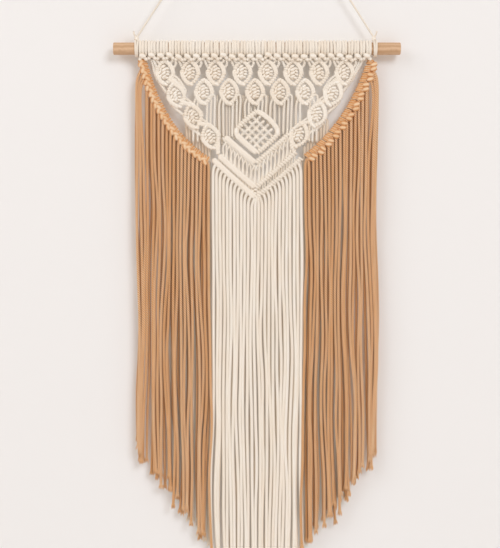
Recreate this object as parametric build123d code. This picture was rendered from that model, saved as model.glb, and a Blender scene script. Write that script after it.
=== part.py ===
"""Knotted cotton wall hanging on a wooden dowel, with dyed side fringes hung from two swagged ropes.

Millimetres. +Z is up, +X is to the right seen from the front, and the front faces -Y.
The origin is on the wall, at the middle of the back of the small hook plate that the cord hangs from.
Heights of knotted parts are given as drops below the dowel's axis.
"""

from build123d import *

import math
import os

os.makedirs("parts", exist_ok=True)

# ---------------------------------------------------------------- driving dimensions
WALL_GAP = 13.0  # from the wall to the plane that everything hangs in
DOWEL_LENGTH = 350.0
DOWEL_DIAMETER = 15.0
DOWEL_CHAMFER = 0.8
HANG_DROP = 247.0  # from the hook down to the dowel's axis
FRINGE_DROP = 668.0  # from the dowel's axis down to the lowest fringe tip
CORD = 4.0  # cotton cord, as it is bought
FRINGE_CORD = 3.8  # the same cord where it hangs free
LINK_CORD = 3.0  # the same cord where knots pull it thin
HANGER_CORD = 2.8
CLEAR = 0.3  # between pieces that lie beside each other or turn on each other
ARC_SHARE = 0.45  # how much of a run each of the two arcs at its ends may take up
GRIP = 0.8  # how far a hanger leg goes into the knot at each of its ends

DOWEL_Z = -HANG_DROP
DOWEL_R = DOWEL_DIAMETER / 2
KNOT_BORE = DOWEL_R + 0.05

# Wall hook
PLATE_WIDTH = 44.0
PLATE_HEIGHT = 16.0
PLATE_THICKNESS = 4.0
SCREW_SPACING = 30.0
SCREW_HOLE = 3.4
PEG_DIAMETER = 8.0
PEG_END = 19.0  # how far the peg stands out from the wall
PEG_CAP_DIAMETER = 12.0
PEG_CAP = 4.0

# Hanger
EYE_R = 6.5  # from the eye's middle to the middle of its cord
HANGER_KNOT_R = 3.6
HANGER_KNOT_SEAT = 0.8 * HANGER_KNOT_R  # from the eye's cord down to the middle of its knot
TIES = {"left": -147.6, "right": 143.5}
TIE_WIDTH = 3.0
TIE_WALL = 2.4
TIE_KNOT_R = 3.2
TIE_KNOT_SEAT = 0.7 * TIE_KNOT_R  # from the top of a tie to the middle of its knot

# Knots that tie the cords to the dowel
KNOTS = 26
KNOT_PITCH = 10.9
KNOT_WIDTH = 10.5
KNOT_WALL = 3.5
KNOT_BAR = 4.0  # diameter of the bar that closes each knot
KNOT_BAR_LENGTH = 0.75 * KNOT_WIDTH
MIDDLE_X = -2.4  # the knots and the leaf motifs sit a little left of the dowel's middle

# Leaf motifs: lens-shaped outlines of hitched ridges with a berry knot inside
LEAF_PITCH = 31.3
LEAF_HALF_WIDTH = 11.3
LEAF_TOP_HALF_HEIGHT = 16.2
LEAF_MIDDLE_HALF_HEIGHT = 15.2
LEAF_TOP_DROP = 32.6
LEAF_MIDDLE_DROP = 53.9
LEAF_TOPS = 8
LEAF_MIDDLES = 5
BAND_LEAVES = [(95.5, 57.6), (75.8, 83.4), (54.4, 108.0)]  # out from the middle, and drop
BAND_HALF_WIDTH = 10.0
BAND_HALF_HEIGHT = 13.2
BAND_TILT = 25.0
LEAF_RIDGE = 5.2  # thickness of a row of hitches round a leaf
BERRY_HALF_WIDTH = 3.6
BERRY_HALF_HEIGHT = 6.0
BERRY_THICKNESS = 8.6
EDGE_CORD_OUT = 0.75 * BAND_HALF_WIDTH  # from the middle of a band leaf to the cords beside it
EDGE_CORD_START = 0.7 * BAND_HALF_HEIGHT  # below the middle of the leaf that they leave
EDGE_CORD_END = 2.0  # above the middle of the leaf that they reach

# Middle diamond and the three chevrons under it: half width, drop of the ends, drop of the tip
RIDGE = 6.2
DIAMOND_DROP = 101.6
DIAMOND_SIDE = 37.6
DIAMOND_CORNER = 5.0
WEAVE_STEP = 5.8
WEAVE_RODS = 5
CHEVRON_INNER = (39.0, 109.8, 141.0)
CHEVRON_MIDDLE = (45.5, 126.3, 169.5)
CHEVRON_OUTER = (54.0, 134.5, 183.4)
CHEVRON_WEAVE_STEP = 6.0
FRINGE_CLEARANCE = 1.3 * RIDGE  # from the outer chevron's axis down to the cords under it
DIAMOND_CLEARANCE = 1.2 * RIDGE  # from the diamond's edge up to the cords over it

# Cords that hang between the leaves and the diamond
DROP_FIRST_X = 13.0
DROP_STEP = 4.9
DROPS = 8
DROP_TOP = 72.0

# Swags: a carrier rope in a long curve from the dowel to the outer chevron, covered in knots
SWAG_START = (139.0, 14.5)  # out from the middle, and drop
SWAG_END = (64.0, 136.0)
SWAG_BEND = {"left": (118.0, 101.0), "right": (119.0, 92.0)}
SWAG_RUNS = 7
SWAG_KNOTS = 20
SWAG_KNOT_R = 4.4
SWAG_KNOT_LENGTH = 6.4
SWAG_KNOT_BORE = 2.6
SWAG_SEARCH_STEPS = 200

# Fringe
SIDE_INNER_X = 59.8
SIDE_STEP = 4.65
SIDE_CORDS = 20
LAYER_Y = 2.1  # the dyed fringe hangs in two layers, this far each side of the swag
BACK_Y = 8.8  # plain cords that hang behind the dyed fringe
BACK_CORDS = 13
BACK_INNER_X = 58.4
BACK_STEP = 3.95
BACK_RISE = 1.2  # how much higher the plain cords start for each millimetre further out
MIDDLE_CORDS = 26
MIDDLE_STEP = 4.3
SIDE_HINGE_DROP = 158.0
MIDDLE_HINGE_DROP = 196.0
HINGE_GAP = 0.6
TIP_SLOPE = 1.342  # how much shorter the fringe is for each millimetre out from the middle
TIP_ROUNDING = 12.0

SIDES = {"left": -1, "right": 1}


def drop(d):
    """Height of a point d below the dowel's axis."""
    return DOWEL_Z - d


def rod(p, q, diameter, inset=0.0):
    """Straight cord from p to q, cut back by inset at both ends."""
    start, end = Vector(*p), Vector(*q)
    along = (end - start).normalized()
    start, end = start + along * inset, end - along * inset
    return Solid.make_cylinder(diameter / 2, (end - start).length, Plane(origin=start, z_dir=along))


def cord_tube(points, diameter):
    """Cord along a route: straight runs joined by the largest tangent arcs that they allow."""
    corners = [Vector(*p) for p in points]
    radii = []
    for a, b, c in zip(corners, corners[1:], corners[2:]):
        half_turn = math.radians((b - a).get_angle(c - b)) / 2
        radii.append(ARC_SHARE * min((b - a).length, (c - b).length) / math.tan(half_turn))
    path = FilletPolyline(*corners, radius=radii)
    profile = Plane(origin=corners[0], z_dir=corners[1] - corners[0]) * Circle(diameter / 2)
    tube = sweep(profile, path=path)
    share = tube.volume / (math.pi * diameter**2 / 4 * path.length)
    print("arc radii", [round(r, 1) for r in radii], "volume over section times length", round(share, 4))
    return tube.solids()[0]


def front(x, z, tilt=0.0):
    """Placement of a flat outline drawn as seen from the front."""
    return Plane.XZ * Pos(x, z) * Rot(0, 0, tilt)


def write(name, solids):
    """One STEP file for one node, moved out from the wall to the hanging's own plane."""
    placed = [Pos(0, -WALL_GAP, 0) * s for s in (solids if isinstance(solids, list) else [solids])]
    export_step(Compound(children=placed) if len(placed) > 1 else placed[0], f"parts/{name}.step")


# ---------------------------------------------------------------- hook, hanger and dowel
def wall_hook():
    """Plate with rounded ends and two screw holes, with a capped peg in its middle."""
    outline = SlotOverall(PLATE_WIDTH, PLATE_HEIGHT)
    for side in SIDES.values():
        outline -= Pos(side * SCREW_SPACING / 2, 0) * Circle(SCREW_HOLE / 2)
    face = Plane.XZ * Pos(0, 0, -WALL_GAP)
    plate = face * extrude(outline, PLATE_THICKNESS)
    peg = face * Pos(0, 0, PEG_END / 2) * Cylinder(PEG_DIAMETER / 2, PEG_END)
    cap = face * Pos(0, 0, PEG_END) * Cylinder(PEG_CAP_DIAMETER / 2, PEG_CAP)
    cap = fillet(cap.edges().filter_by(GeomType.CIRCLE), PEG_CAP / 4)
    return (plate + peg + cap).solids()[0]


def hanger_eye_z():
    """The eye rests on the top of the peg."""
    return PEG_DIAMETER / 2 + CLEAR - (EYE_R - HANGER_CORD / 2)


def hanger_knot_z():
    return hanger_eye_z() - EYE_R - HANGER_KNOT_SEAT


def hanger_knot():
    """Eye over the peg, with the knot that closes it."""
    eye = Plane.XZ * Pos(0, hanger_eye_z()) * Torus(EYE_R, HANGER_CORD / 2)
    return (eye + Pos(0, 0, hanger_knot_z()) * Sphere(HANGER_KNOT_R)).solids()[0]


def tie_knot_z():
    return DOWEL_Z + DOWEL_R + CLEAR + TIE_WALL + TIE_KNOT_SEAT


def hanger_tie(x):
    """Loop of hanger cord round the dowel, with its knot on top."""
    loop = ring_round_dowel(x, TIE_WIDTH, TIE_WALL, DOWEL_R + CLEAR)
    clear_of_dowel = Pos(x, 0, DOWEL_Z) * Rot(0, 90, 0) * Cylinder(DOWEL_R + CLEAR, 4 * TIE_KNOT_R)
    return (loop + Pos(x, 0, tie_knot_z()) * Sphere(TIE_KNOT_R) - clear_of_dowel).solids()[0]


def hanger_leg(x):
    inset = TIE_KNOT_R - GRIP
    return rod((0, 0, hanger_knot_z()), (x, 0, tie_knot_z()), HANGER_CORD, inset)


def dowel():
    body = Rot(0, 90, 0) * Cylinder(DOWEL_R, DOWEL_LENGTH)
    body = chamfer(body.edges().filter_by(GeomType.CIRCLE), DOWEL_CHAMFER)
    return (Pos(0, 0, DOWEL_Z) * body).solids()[0]


# ---------------------------------------------------------------- knots on the dowel
def ring_round_dowel(x, width, wall, bore):
    ring = Cylinder(bore + wall, width) - Cylinder(bore, 2 * width)
    return Pos(x, 0, DOWEL_Z) * Rot(0, 90, 0) * ring


def knot_x(k):
    return MIDDLE_X + (k - (KNOTS - 1) / 2) * KNOT_PITCH


def mounting_knots():
    """Every knot is a band of wraps round the dowel with a bar across its foot."""
    made = []
    foot = KNOT_BORE + KNOT_WALL
    for k in range(KNOTS):
        bar = Pos(knot_x(k), 0, drop(foot)) * Rot(0, 90, 0) * Cylinder(KNOT_BAR / 2, KNOT_BAR_LENGTH)
        made.append((ring_round_dowel(knot_x(k), KNOT_WIDTH, KNOT_WALL, KNOT_BORE) + bar).solids()[0])
    return made


def leaf_x(index, count):
    return MIDDLE_X + (index - (count - 1) / 2) * LEAF_PITCH


def lead_cords():
    """Cords from the dowel's knots to the shoulders of the top leaves."""
    top = drop(KNOT_BORE + KNOT_WALL + KNOT_BAR / 2 + CLEAR)
    shoulder = drop(LEAF_TOP_DROP - LEAF_TOP_HALF_HEIGHT / 2)
    xs = [leaf_x(i, LEAF_TOPS) + side * LEAF_HALF_WIDTH for i in range(LEAF_TOPS) for side in (-1, 1)]
    return [rod((x, 0, top), (x, 0, shoulder), LINK_CORD) for x in xs]


# ---------------------------------------------------------------- leaves
def lens(half_width, half_height, inset=0.0):
    """Overlap of two equal circles, drawn in by inset all round."""
    r = (half_width**2 + half_height**2) / (2 * half_width)
    return (Pos(r - half_width, 0) * Circle(r - inset)) & (Pos(half_width - r, 0) * Circle(r - inset))


def leaf(x, z, half_width, half_height, tilt=0.0):
    outline = lens(half_width, half_height) - lens(half_width, half_height, LEAF_RIDGE)
    return extrude(front(x, z, tilt) * outline, LEAF_RIDGE / 2, both=True).solids()[0]


def berry(x, z, tilt=0.0):
    outline = Ellipse(BERRY_HALF_WIDTH, BERRY_HALF_HEIGHT)
    return extrude(front(x, z, tilt) * outline, BERRY_THICKNESS / 2, both=True).solids()[0]


def band_places(side):
    return [(MIDDLE_X + side * x, drop(d), -side * BAND_TILT) for x, d in BAND_LEAVES]


def write_leaves():
    top = LEAF_HALF_WIDTH, LEAF_TOP_HALF_HEIGHT
    middle = LEAF_HALF_WIDTH, LEAF_MIDDLE_HALF_HEIGHT
    band = BAND_HALF_WIDTH, BAND_HALF_HEIGHT
    rows = {
        "top": (top, [(leaf_x(i, LEAF_TOPS), drop(LEAF_TOP_DROP), 0) for i in range(LEAF_TOPS)]),
        "middle": (
            middle,
            [(leaf_x(i, LEAF_MIDDLES), drop(LEAF_MIDDLE_DROP), 0) for i in range(LEAF_MIDDLES)],
        ),
        "left": (band, band_places(-1)),
        "right": (band, band_places(1)),
    }
    for row, (size, places) in rows.items():
        for n, (x, z, tilt) in enumerate(places, 1):
            write(f"leaf_{row}_{n}", leaf(x, z, *size, tilt))
    write("berries", [berry(*place) for _, places in rows.values() for place in places])


def edge_cords(side):
    """Straight cords down the outside of a band of leaves, behind it."""
    y = LEAF_RIDGE / 2 + LINK_CORD / 2 + CLEAR
    out = MIDDLE_X + side * EDGE_CORD_OUT
    places = [(LEAF_PITCH * (LEAF_TOPS - 1) / 2, LEAF_TOP_DROP)] + BAND_LEAVES
    made = []
    for (x0, d0), (x1, d1) in zip(places, places[1:]):
        top, foot = d0 + EDGE_CORD_START, d1 - EDGE_CORD_END
        made.append(rod((out + side * x0, y, drop(top)), (out + side * x1, y, drop(foot)), LINK_CORD))
    return made


# ---------------------------------------------------------------- diamond and chevrons
def diamond_border():
    outer = RectangleRounded(DIAMOND_SIDE + RIDGE, DIAMOND_SIDE + RIDGE, DIAMOND_CORNER)
    inner = Rectangle(DIAMOND_SIDE - RIDGE, DIAMOND_SIDE - RIDGE)
    return extrude(front(0, drop(DIAMOND_DROP), 45) * (outer - inner), RIDGE / 2, both=True).solids()[0]


def diamond_weave():
    """Cords crossing both ways inside the diamond."""
    reach = (DIAMOND_SIDE - RIDGE) / 2 - CLEAR
    y = LINK_CORD / 2 + CLEAR / 2
    made = []
    for n in range(WEAVE_RODS):
        off = (n - (WEAVE_RODS - 1) / 2) * WEAVE_STEP
        for lean, depth in ((1, -y), (-1, y)):
            along = Vector(lean, 0, 1).normalized()
            middle = Vector(0, depth, drop(DIAMOND_DROP)) + Vector(1, 0, -lean).normalized() * off
            made.append(rod(middle - along * reach, middle + along * reach, LINK_CORD))
    return made


def chevron_arm(shape, side):
    """One side of a chevron, mitred where it meets the other at the tip."""
    half_width, end_drop, tip_drop = shape
    end, tip = Vector(side * half_width, 0, drop(end_drop)), Vector(0, 0, drop(tip_drop))
    arm = rod(end, tip + (tip - end).normalized() * RIDGE, RIDGE)
    keep = Pos(side * (half_width + CLEAR / 2), 0, tip.Z) * Box(2 * half_width, 2 * RIDGE, 4 * half_width)
    return (arm & keep).solids()[0]


def chevron_drop(x, shape):
    half_width, end_drop, tip_drop = shape
    return tip_drop - (tip_drop - end_drop) * abs(x) / half_width


def chevron_weave():
    """Short cords between the inner and the middle chevron."""
    count = int(CHEVRON_INNER[0] / CHEVRON_WEAVE_STEP)
    gap = RIDGE / 2 + LINK_CORD
    made = []
    for n in range(-count, count + 1):
        x = n * CHEVRON_WEAVE_STEP
        top, foot = chevron_drop(x, CHEVRON_INNER) + gap, chevron_drop(x, CHEVRON_MIDDLE) - gap
        made.append(rod((x, 0, drop(top)), (x, 0, drop(foot)), LINK_CORD))
    return made


def drop_cords(side):
    """Cords from the middle leaves down to the diamond, the inner chevron and the last band leaf."""
    half_diagonal = DIAMOND_SIDE / math.sqrt(2)
    made = []
    for n in range(DROPS):
        x = DROP_FIRST_X + n * DROP_STEP
        foot = CHEVRON_INNER[1] - RIDGE
        if x < half_diagonal + RIDGE:
            foot = DIAMOND_DROP - half_diagonal + x - DIAMOND_CLEARANCE
        elif x > CHEVRON_INNER[0]:
            foot = BAND_LEAVES[-1][1] - BAND_HALF_HEIGHT - LINK_CORD
        made.append(rod((side * x, 0, drop(DROP_TOP)), (side * x, 0, drop(foot)), LINK_CORD))
    return made


# ---------------------------------------------------------------- swags
def swag_line(name):
    return Bezier(*[(SIDES[name] * x, 0, drop(d)) for x, d in (SWAG_START, SWAG_BEND[name], SWAG_END)])


def swag_cord(name):
    line = swag_line(name)
    return cord_tube([tuple(line @ (n / SWAG_RUNS)) for n in range(SWAG_RUNS + 1)], CORD)


def swag_knots(name):
    line = swag_line(name)
    ring = Cylinder(SWAG_KNOT_R, SWAG_KNOT_LENGTH) - Cylinder(SWAG_KNOT_BORE, 2 * SWAG_KNOT_LENGTH)
    places = [(n + 0.5) / SWAG_KNOTS for n in range(SWAG_KNOTS)]
    return [(Plane(origin=line @ at, z_dir=line % at) * ring).solids()[0] for at in places]


def swag_foot(name, x):
    """Drop at which a cord hanging x out from the middle comes clear of the swag: the swag curves
    outwards, so clearance from its tangent at that x is clearance from all of it."""
    line = swag_line(name)
    steps = [n / SWAG_SEARCH_STEPS for n in range(SWAG_SEARCH_STEPS + 1)]
    at = min(steps, key=lambda n: abs(abs((line @ n).X) - x))
    point, along = line @ at, line % at
    level = abs(along.X)
    beside = DOWEL_Z - point.Z - (x - abs(point.X)) * abs(along.Z) / level
    return max(beside, SWAG_START[1]) + (SWAG_KNOT_R + FRINGE_CORD / 2 + 1) / level


# ---------------------------------------------------------------- fringe
def tip_drop(x):
    """How far below the dowel a fringe cord at x is cut: a V with a slightly rounded tip."""
    return FRINGE_DROP + TIP_SLOPE * (TIP_ROUNDING - math.hypot(x, TIP_ROUNDING))


def hanging_cord(x, y, start, end):
    return rod((x, y, drop(start)), (x, y, drop(end)), FRINGE_CORD)


def write_side_fringe(name):
    side, hinge = SIDES[name], SIDE_HINGE_DROP
    tops, layers = [], {"front": [], "back": []}
    for n in range(SIDE_CORDS):
        x = SIDE_INNER_X + n * SIDE_STEP
        for layer, y in (("front", -LAYER_Y), ("back", LAYER_Y)):
            tops.append(hanging_cord(side * x, y, swag_foot(name, x), hinge))
            layers[layer].append(hanging_cord(side * x, y, hinge + HINGE_GAP, tip_drop(x)))
    write(f"tan_tops_{name}", tops)
    for layer, cords in layers.items():
        write(f"tan_fringe_{name}_{layer}", cords)

    tops, cords = [], []
    for n in range(BACK_CORDS):
        x = BACK_INNER_X + n * BACK_STEP
        start = BAND_LEAVES[-1][1] + BAND_HALF_HEIGHT - (x - BACK_INNER_X) * BACK_RISE
        tops.append(hanging_cord(side * x, BACK_Y, start, hinge))
        cords.append(hanging_cord(side * x, BACK_Y, hinge + HINGE_GAP, tip_drop(x)))
    write(f"cream_tops_{name}", tops)
    write(f"cream_fringe_{name}", cords)


def write_middle_fringe():
    tops, cords = [], []
    for n in range(MIDDLE_CORDS):
        x = (n - (MIDDLE_CORDS - 1) / 2) * MIDDLE_STEP
        tops.append(hanging_cord(x, 0, chevron_drop(x, CHEVRON_OUTER) + FRINGE_CLEARANCE, MIDDLE_HINGE_DROP))
        cords.append(hanging_cord(x, 0, MIDDLE_HINGE_DROP + HINGE_GAP, tip_drop(x)))
    write("cream_tops_middle", tops)
    write("cream_fringe_middle", cords)


# ---------------------------------------------------------------- the whole hanging
write("wall_hook", wall_hook())
write("hanger_knot", hanger_knot())
write("dowel", dowel())
write("mounting_knots", mounting_knots())
write("lead_cords", lead_cords())
write_leaves()
write("diamond_border", diamond_border())
write("diamond_weave", diamond_weave())
write("chevron_weave", chevron_weave())
write_middle_fringe()
for name, side in SIDES.items():
    write(f"hanger_tie_{name}", hanger_tie(TIES[name]))
    write(f"hanger_leg_{name}", hanger_leg(TIES[name]))
    write(f"edge_cords_{name}", edge_cords(side))
    write(f"drop_cords_{name}", drop_cords(side))
    write(f"chevron_inner_{name}", chevron_arm(CHEVRON_INNER, side))
    write(f"chevron_middle_{name}", chevron_arm(CHEVRON_MIDDLE, side))
    write(f"chevron_outer_{name}", chevron_arm(CHEVRON_OUTER, side))
    write(f"swag_cord_{name}", swag_cord(name))
    write(f"swag_knots_{name}", swag_knots(name))
    write_side_fringe(name)
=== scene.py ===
"""Knotted cotton wall hanging: every cord, knot and ridge as its own shape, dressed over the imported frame."""

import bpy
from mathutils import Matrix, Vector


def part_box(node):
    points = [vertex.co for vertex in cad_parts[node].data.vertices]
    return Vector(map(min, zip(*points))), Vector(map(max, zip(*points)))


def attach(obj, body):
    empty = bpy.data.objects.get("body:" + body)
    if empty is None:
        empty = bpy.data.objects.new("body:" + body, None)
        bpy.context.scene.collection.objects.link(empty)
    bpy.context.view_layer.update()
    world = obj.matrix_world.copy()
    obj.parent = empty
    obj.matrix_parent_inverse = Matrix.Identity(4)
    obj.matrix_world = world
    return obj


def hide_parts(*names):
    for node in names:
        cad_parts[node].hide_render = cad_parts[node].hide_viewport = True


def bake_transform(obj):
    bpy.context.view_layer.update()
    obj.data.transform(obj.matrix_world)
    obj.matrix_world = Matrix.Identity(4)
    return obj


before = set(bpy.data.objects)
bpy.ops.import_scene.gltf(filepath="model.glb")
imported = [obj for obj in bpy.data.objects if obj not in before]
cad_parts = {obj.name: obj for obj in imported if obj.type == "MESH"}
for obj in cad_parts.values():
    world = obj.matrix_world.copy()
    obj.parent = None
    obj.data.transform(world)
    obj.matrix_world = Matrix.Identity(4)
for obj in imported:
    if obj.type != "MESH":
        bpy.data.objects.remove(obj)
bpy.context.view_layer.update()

import logging
import math
from dataclasses import dataclass
from enum import Enum

import bpy
import numpy as np

logging.basicConfig(level=logging.INFO, format="%(message)s")
LOG = logging.getLogger("hanging")

MM = 0.001
TAU = 2 * math.pi
FRONT = np.array([0.0, -1.0, 0.0])
SIDEWAYS = np.array([1.0, 0.0, 0.0])
UV_LENGTH = 10.0  # mm of strand for one unit of v


# ---------------------------------------------------------------- places
@dataclass(frozen=True)
class Datum:
    """The hanging's own axes in mm: x from the dowel's middle, y behind its axis and drop below its axis."""

    plane_y: float
    dowel_z: float

    def place(self, points: np.ndarray) -> np.ndarray:
        """Points (x, y, drop) in mm as points of the row frame in metres."""
        p = np.asarray(points, float) * MM
        return np.stack([p[..., 0], self.plane_y + p[..., 1], self.dowel_z - p[..., 2]], axis=-1)

    def centre(self, node: str) -> tuple[float, float]:
        """The x and drop, in mm, of the middle of a CAD node."""
        low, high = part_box(node)
        return (low.x + high.x) / 2 / MM, (self.dowel_z - (low.z + high.z) / 2) / MM


def find_datum() -> Datum:
    """The datum from the dowel's box.

    Returns:
        The plane that everything hangs in and the height of the dowel's axis.
    """
    low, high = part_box("dowel")
    return Datum((low.y + high.y) / 2, (low.z + high.z) / 2)


DATUM = find_datum()


# ---------------------------------------------------------------- lines
def arc_lengths(line: np.ndarray) -> np.ndarray:
    """Distance along a line at each of its points, starting at 0."""
    return np.concatenate([[0.0], np.cumsum(np.linalg.norm(np.diff(line, axis=0), axis=1))])


def resample(line: np.ndarray, step: float) -> np.ndarray:
    """The same line with points evenly spaced.

    Args:
        line: points, one a row.
        step: the spacing wanted, in the line's units.

    Returns:
        Points linearly interpolated at equal distances along the line.
    """
    along = arc_lengths(line)
    at = np.linspace(0, along[-1], max(3, int(round(along[-1] / step)) + 1))
    return np.stack([np.interp(at, along, line[:, k]) for k in range(3)], axis=1)


def read_splines(routes: list[np.ndarray]) -> list[np.ndarray]:
    """Smooth lines over cord routes, read from NURBS splines that have the routes' points as control points.

    Args:
        routes: one array of points (x, y, drop) in mm for each cord.

    Returns:
        One array of points in mm for each route, in the same order.
    """
    curve = bpy.data.curves.new("routes", "CURVE")
    curve.dimensions = "3D"
    curve.resolution_u = 10
    for route in routes:
        spline = curve.splines.new("NURBS")
        spline.points.add(len(route) - 1)
        spline.points.foreach_set("co", np.column_stack([route, np.ones(len(route))]).ravel())
        spline.order_u = 3
        spline.use_endpoint_u = True
    holder = bpy.data.objects.new("routes", curve)
    mesh = bpy.data.meshes.new_from_object(holder)
    co = np.zeros(len(mesh.vertices) * 3)
    mesh.vertices.foreach_get("co", co)
    edges = np.zeros(len(mesh.edges) * 2, int)
    mesh.edges.foreach_get("vertices", edges)
    joined = np.zeros(len(mesh.vertices) + 1, bool)
    joined[edges.reshape(-1, 2).max(axis=1)] = True
    starts = np.flatnonzero(~joined[: len(mesh.vertices)])
    lines = np.split(co.reshape(-1, 3), starts[1:])
    bpy.data.objects.remove(holder)
    bpy.data.curves.remove(curve)
    bpy.data.meshes.remove(mesh)
    if len(lines) != len(routes):
        raise ValueError(f"{len(routes)} routes gave {len(lines)} lines")
    return lines


def bezier(points: tuple[tuple[float, float], ...], at: np.ndarray) -> np.ndarray:
    """Points on a quadratic Bezier curve in the x and drop plane: (1-t)^2 P0 + 2t(1-t) P1 + t^2 P2.

    Args:
        points: its start, its control point and its end, each as x and drop in mm.
        at: the shares t, from 0 at the start to 1 at the end.

    Returns:
        One point (x, y, drop) for each share.
    """
    p0, p1, p2 = (np.array([x, 0.0, d]) for x, d in points)
    t = np.asarray(at)[:, None]
    return (1 - t) ** 2 * p0 + 2 * t * (1 - t) * p1 + t**2 * p2


# ---------------------------------------------------------------- surfaces
def tube_grid(line: np.ndarray, radii: np.ndarray, turn: np.ndarray, ref: np.ndarray) -> np.ndarray:
    """Rings of points round a line.

    The frame at each point is the line's direction t, the side s (ref with its part along t taken away)
    and t x s. A point is the line's plus r (cos a s + sin a (t x s)), with a its share of a turn plus the
    ring's own turn.

    Args:
        line: the centreline, in mm.
        radii: one radius for each ring and each point round it.
        turn: how far each ring is turned, in radians.
        ref: a direction that the line never follows.

    Returns:
        An array of rings by points round them by 3.
    """
    tangent = np.gradient(line, axis=0)
    tangent /= np.linalg.norm(tangent, axis=1, keepdims=True)
    side = ref - (tangent @ ref)[:, None] * tangent
    side /= np.linalg.norm(side, axis=1, keepdims=True)
    other = np.cross(tangent, side)
    around = radii.shape[1]
    angle = TAU * np.arange(around) / around + turn[:, None]
    return line[:, None] + radii[..., None] * (
        np.cos(angle)[..., None] * side[:, None] + np.sin(angle)[..., None] * other[:, None]
    )


class Bank:
    """Surfaces gathered into one mesh, with a UV map that follows each strand and a tone for each cord."""

    def __init__(self) -> None:
        """Starts empty."""
        self.points: list[np.ndarray] = []
        self.quads: list[np.ndarray] = []
        self.quad_uvs: list[np.ndarray] = []
        self.caps: list[np.ndarray] = []
        self.tones: list[np.ndarray] = []
        self.count = 0

    def add(self, grid: np.ndarray, tone: float, along: np.ndarray, closed: bool = False) -> None:
        """Adds a tube, given as rings of points that run anticlockwise about its way, in (x, y, drop).

        Drop points the other way from height, so faces are wound backwards here to face outwards.

        Args:
            grid: rings by points round them by 3, in mm.
            tone: from 0, dark, to 1, light, for the whole strand.
            along: the distance of each ring along the strand, in mm.
            closed: True if the last ring joins the first, as round a loop.
        """
        rings, around = grid.shape[:2]
        i = np.arange(rings if closed else rings - 1)[:, None]
        k = np.arange(around)[None, :]
        k1, i1 = (k + 1) % around, (i + 1) % rings
        quads = np.stack([i * around + k, i1 * around + k, i1 * around + k1, i * around + k1], axis=-1)
        u0, u1 = k / around + 0 * i, (k + 1) / around + 0 * i
        ahead = np.append(along, along[-1] + (along[-1] - along[-2]))
        v0, v1 = ahead[i] + 0 * k, ahead[i + 1] + 0 * k
        corners = ((u0, v0), (u0, v1), (u1, v1), (u1, v0))
        uv = np.stack([np.stack([u, v / UV_LENGTH], -1) for u, v in corners], axis=-2)
        self.quads.append(quads.reshape(-1, 4) + self.count)
        self.quad_uvs.append(uv.reshape(-1, 2))
        if not closed:
            ring = np.arange(around) + self.count
            self.caps += [ring, (ring + (rings - 1) * around)[::-1]]
        self.points.append(grid.reshape(-1, 3))
        self.tones.append(np.full(rings * around, tone))
        self.count += rings * around

    def build(self, name: str, finish: "Finish", body: str, *nodes: str) -> bpy.types.Object:
        """Makes the object, dresses it and hides the CAD nodes that it stands for.

        Args:
            name: the piece's name.
            finish: its finish.
            body: the CAD body that it rides on, or an empty text for none.
            nodes: the CAD nodes that it stands for.

        Returns:
            The new object, at the origin.
        """
        points = DATUM.place(np.concatenate(self.points))
        quads = np.concatenate(self.quads)
        loops = np.concatenate([quads.ravel(), *self.caps]).astype(np.int32)
        sizes = np.concatenate([np.full(len(quads), 4), [len(c) for c in self.caps]]).astype(np.int32)
        mesh = bpy.data.meshes.new(name)
        mesh.vertices.add(len(points))
        mesh.vertices.foreach_set("co", points.astype(np.float32).ravel())
        mesh.loops.add(len(loops))
        mesh.loops.foreach_set("vertex_index", loops)
        mesh.polygons.add(len(sizes))
        mesh.polygons.foreach_set("loop_start", np.concatenate([[0], np.cumsum(sizes)[:-1]]).astype(np.int32))
        mesh.update(calc_edges=True)
        mesh.polygons.foreach_set("use_smooth", np.ones(len(sizes), bool))
        uv = np.zeros((len(loops), 2), np.float32)
        uv[: quads.size] = np.concatenate(self.quad_uvs)
        mesh.uv_layers.new(name="strand").uv.foreach_set("vector", uv.ravel())
        tone = mesh.attributes.new("tone", "FLOAT", "POINT")
        tone.data.foreach_set("value", np.concatenate(self.tones).astype(np.float32))
        mesh.materials.append(finish.material())
        obj = bpy.data.objects.new(name, mesh)
        bpy.context.scene.collection.objects.link(obj)
        if body:
            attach(obj, body)
        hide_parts(*nodes)
        LOG.info("%s: %d faces", name, len(sizes))
        return obj


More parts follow.
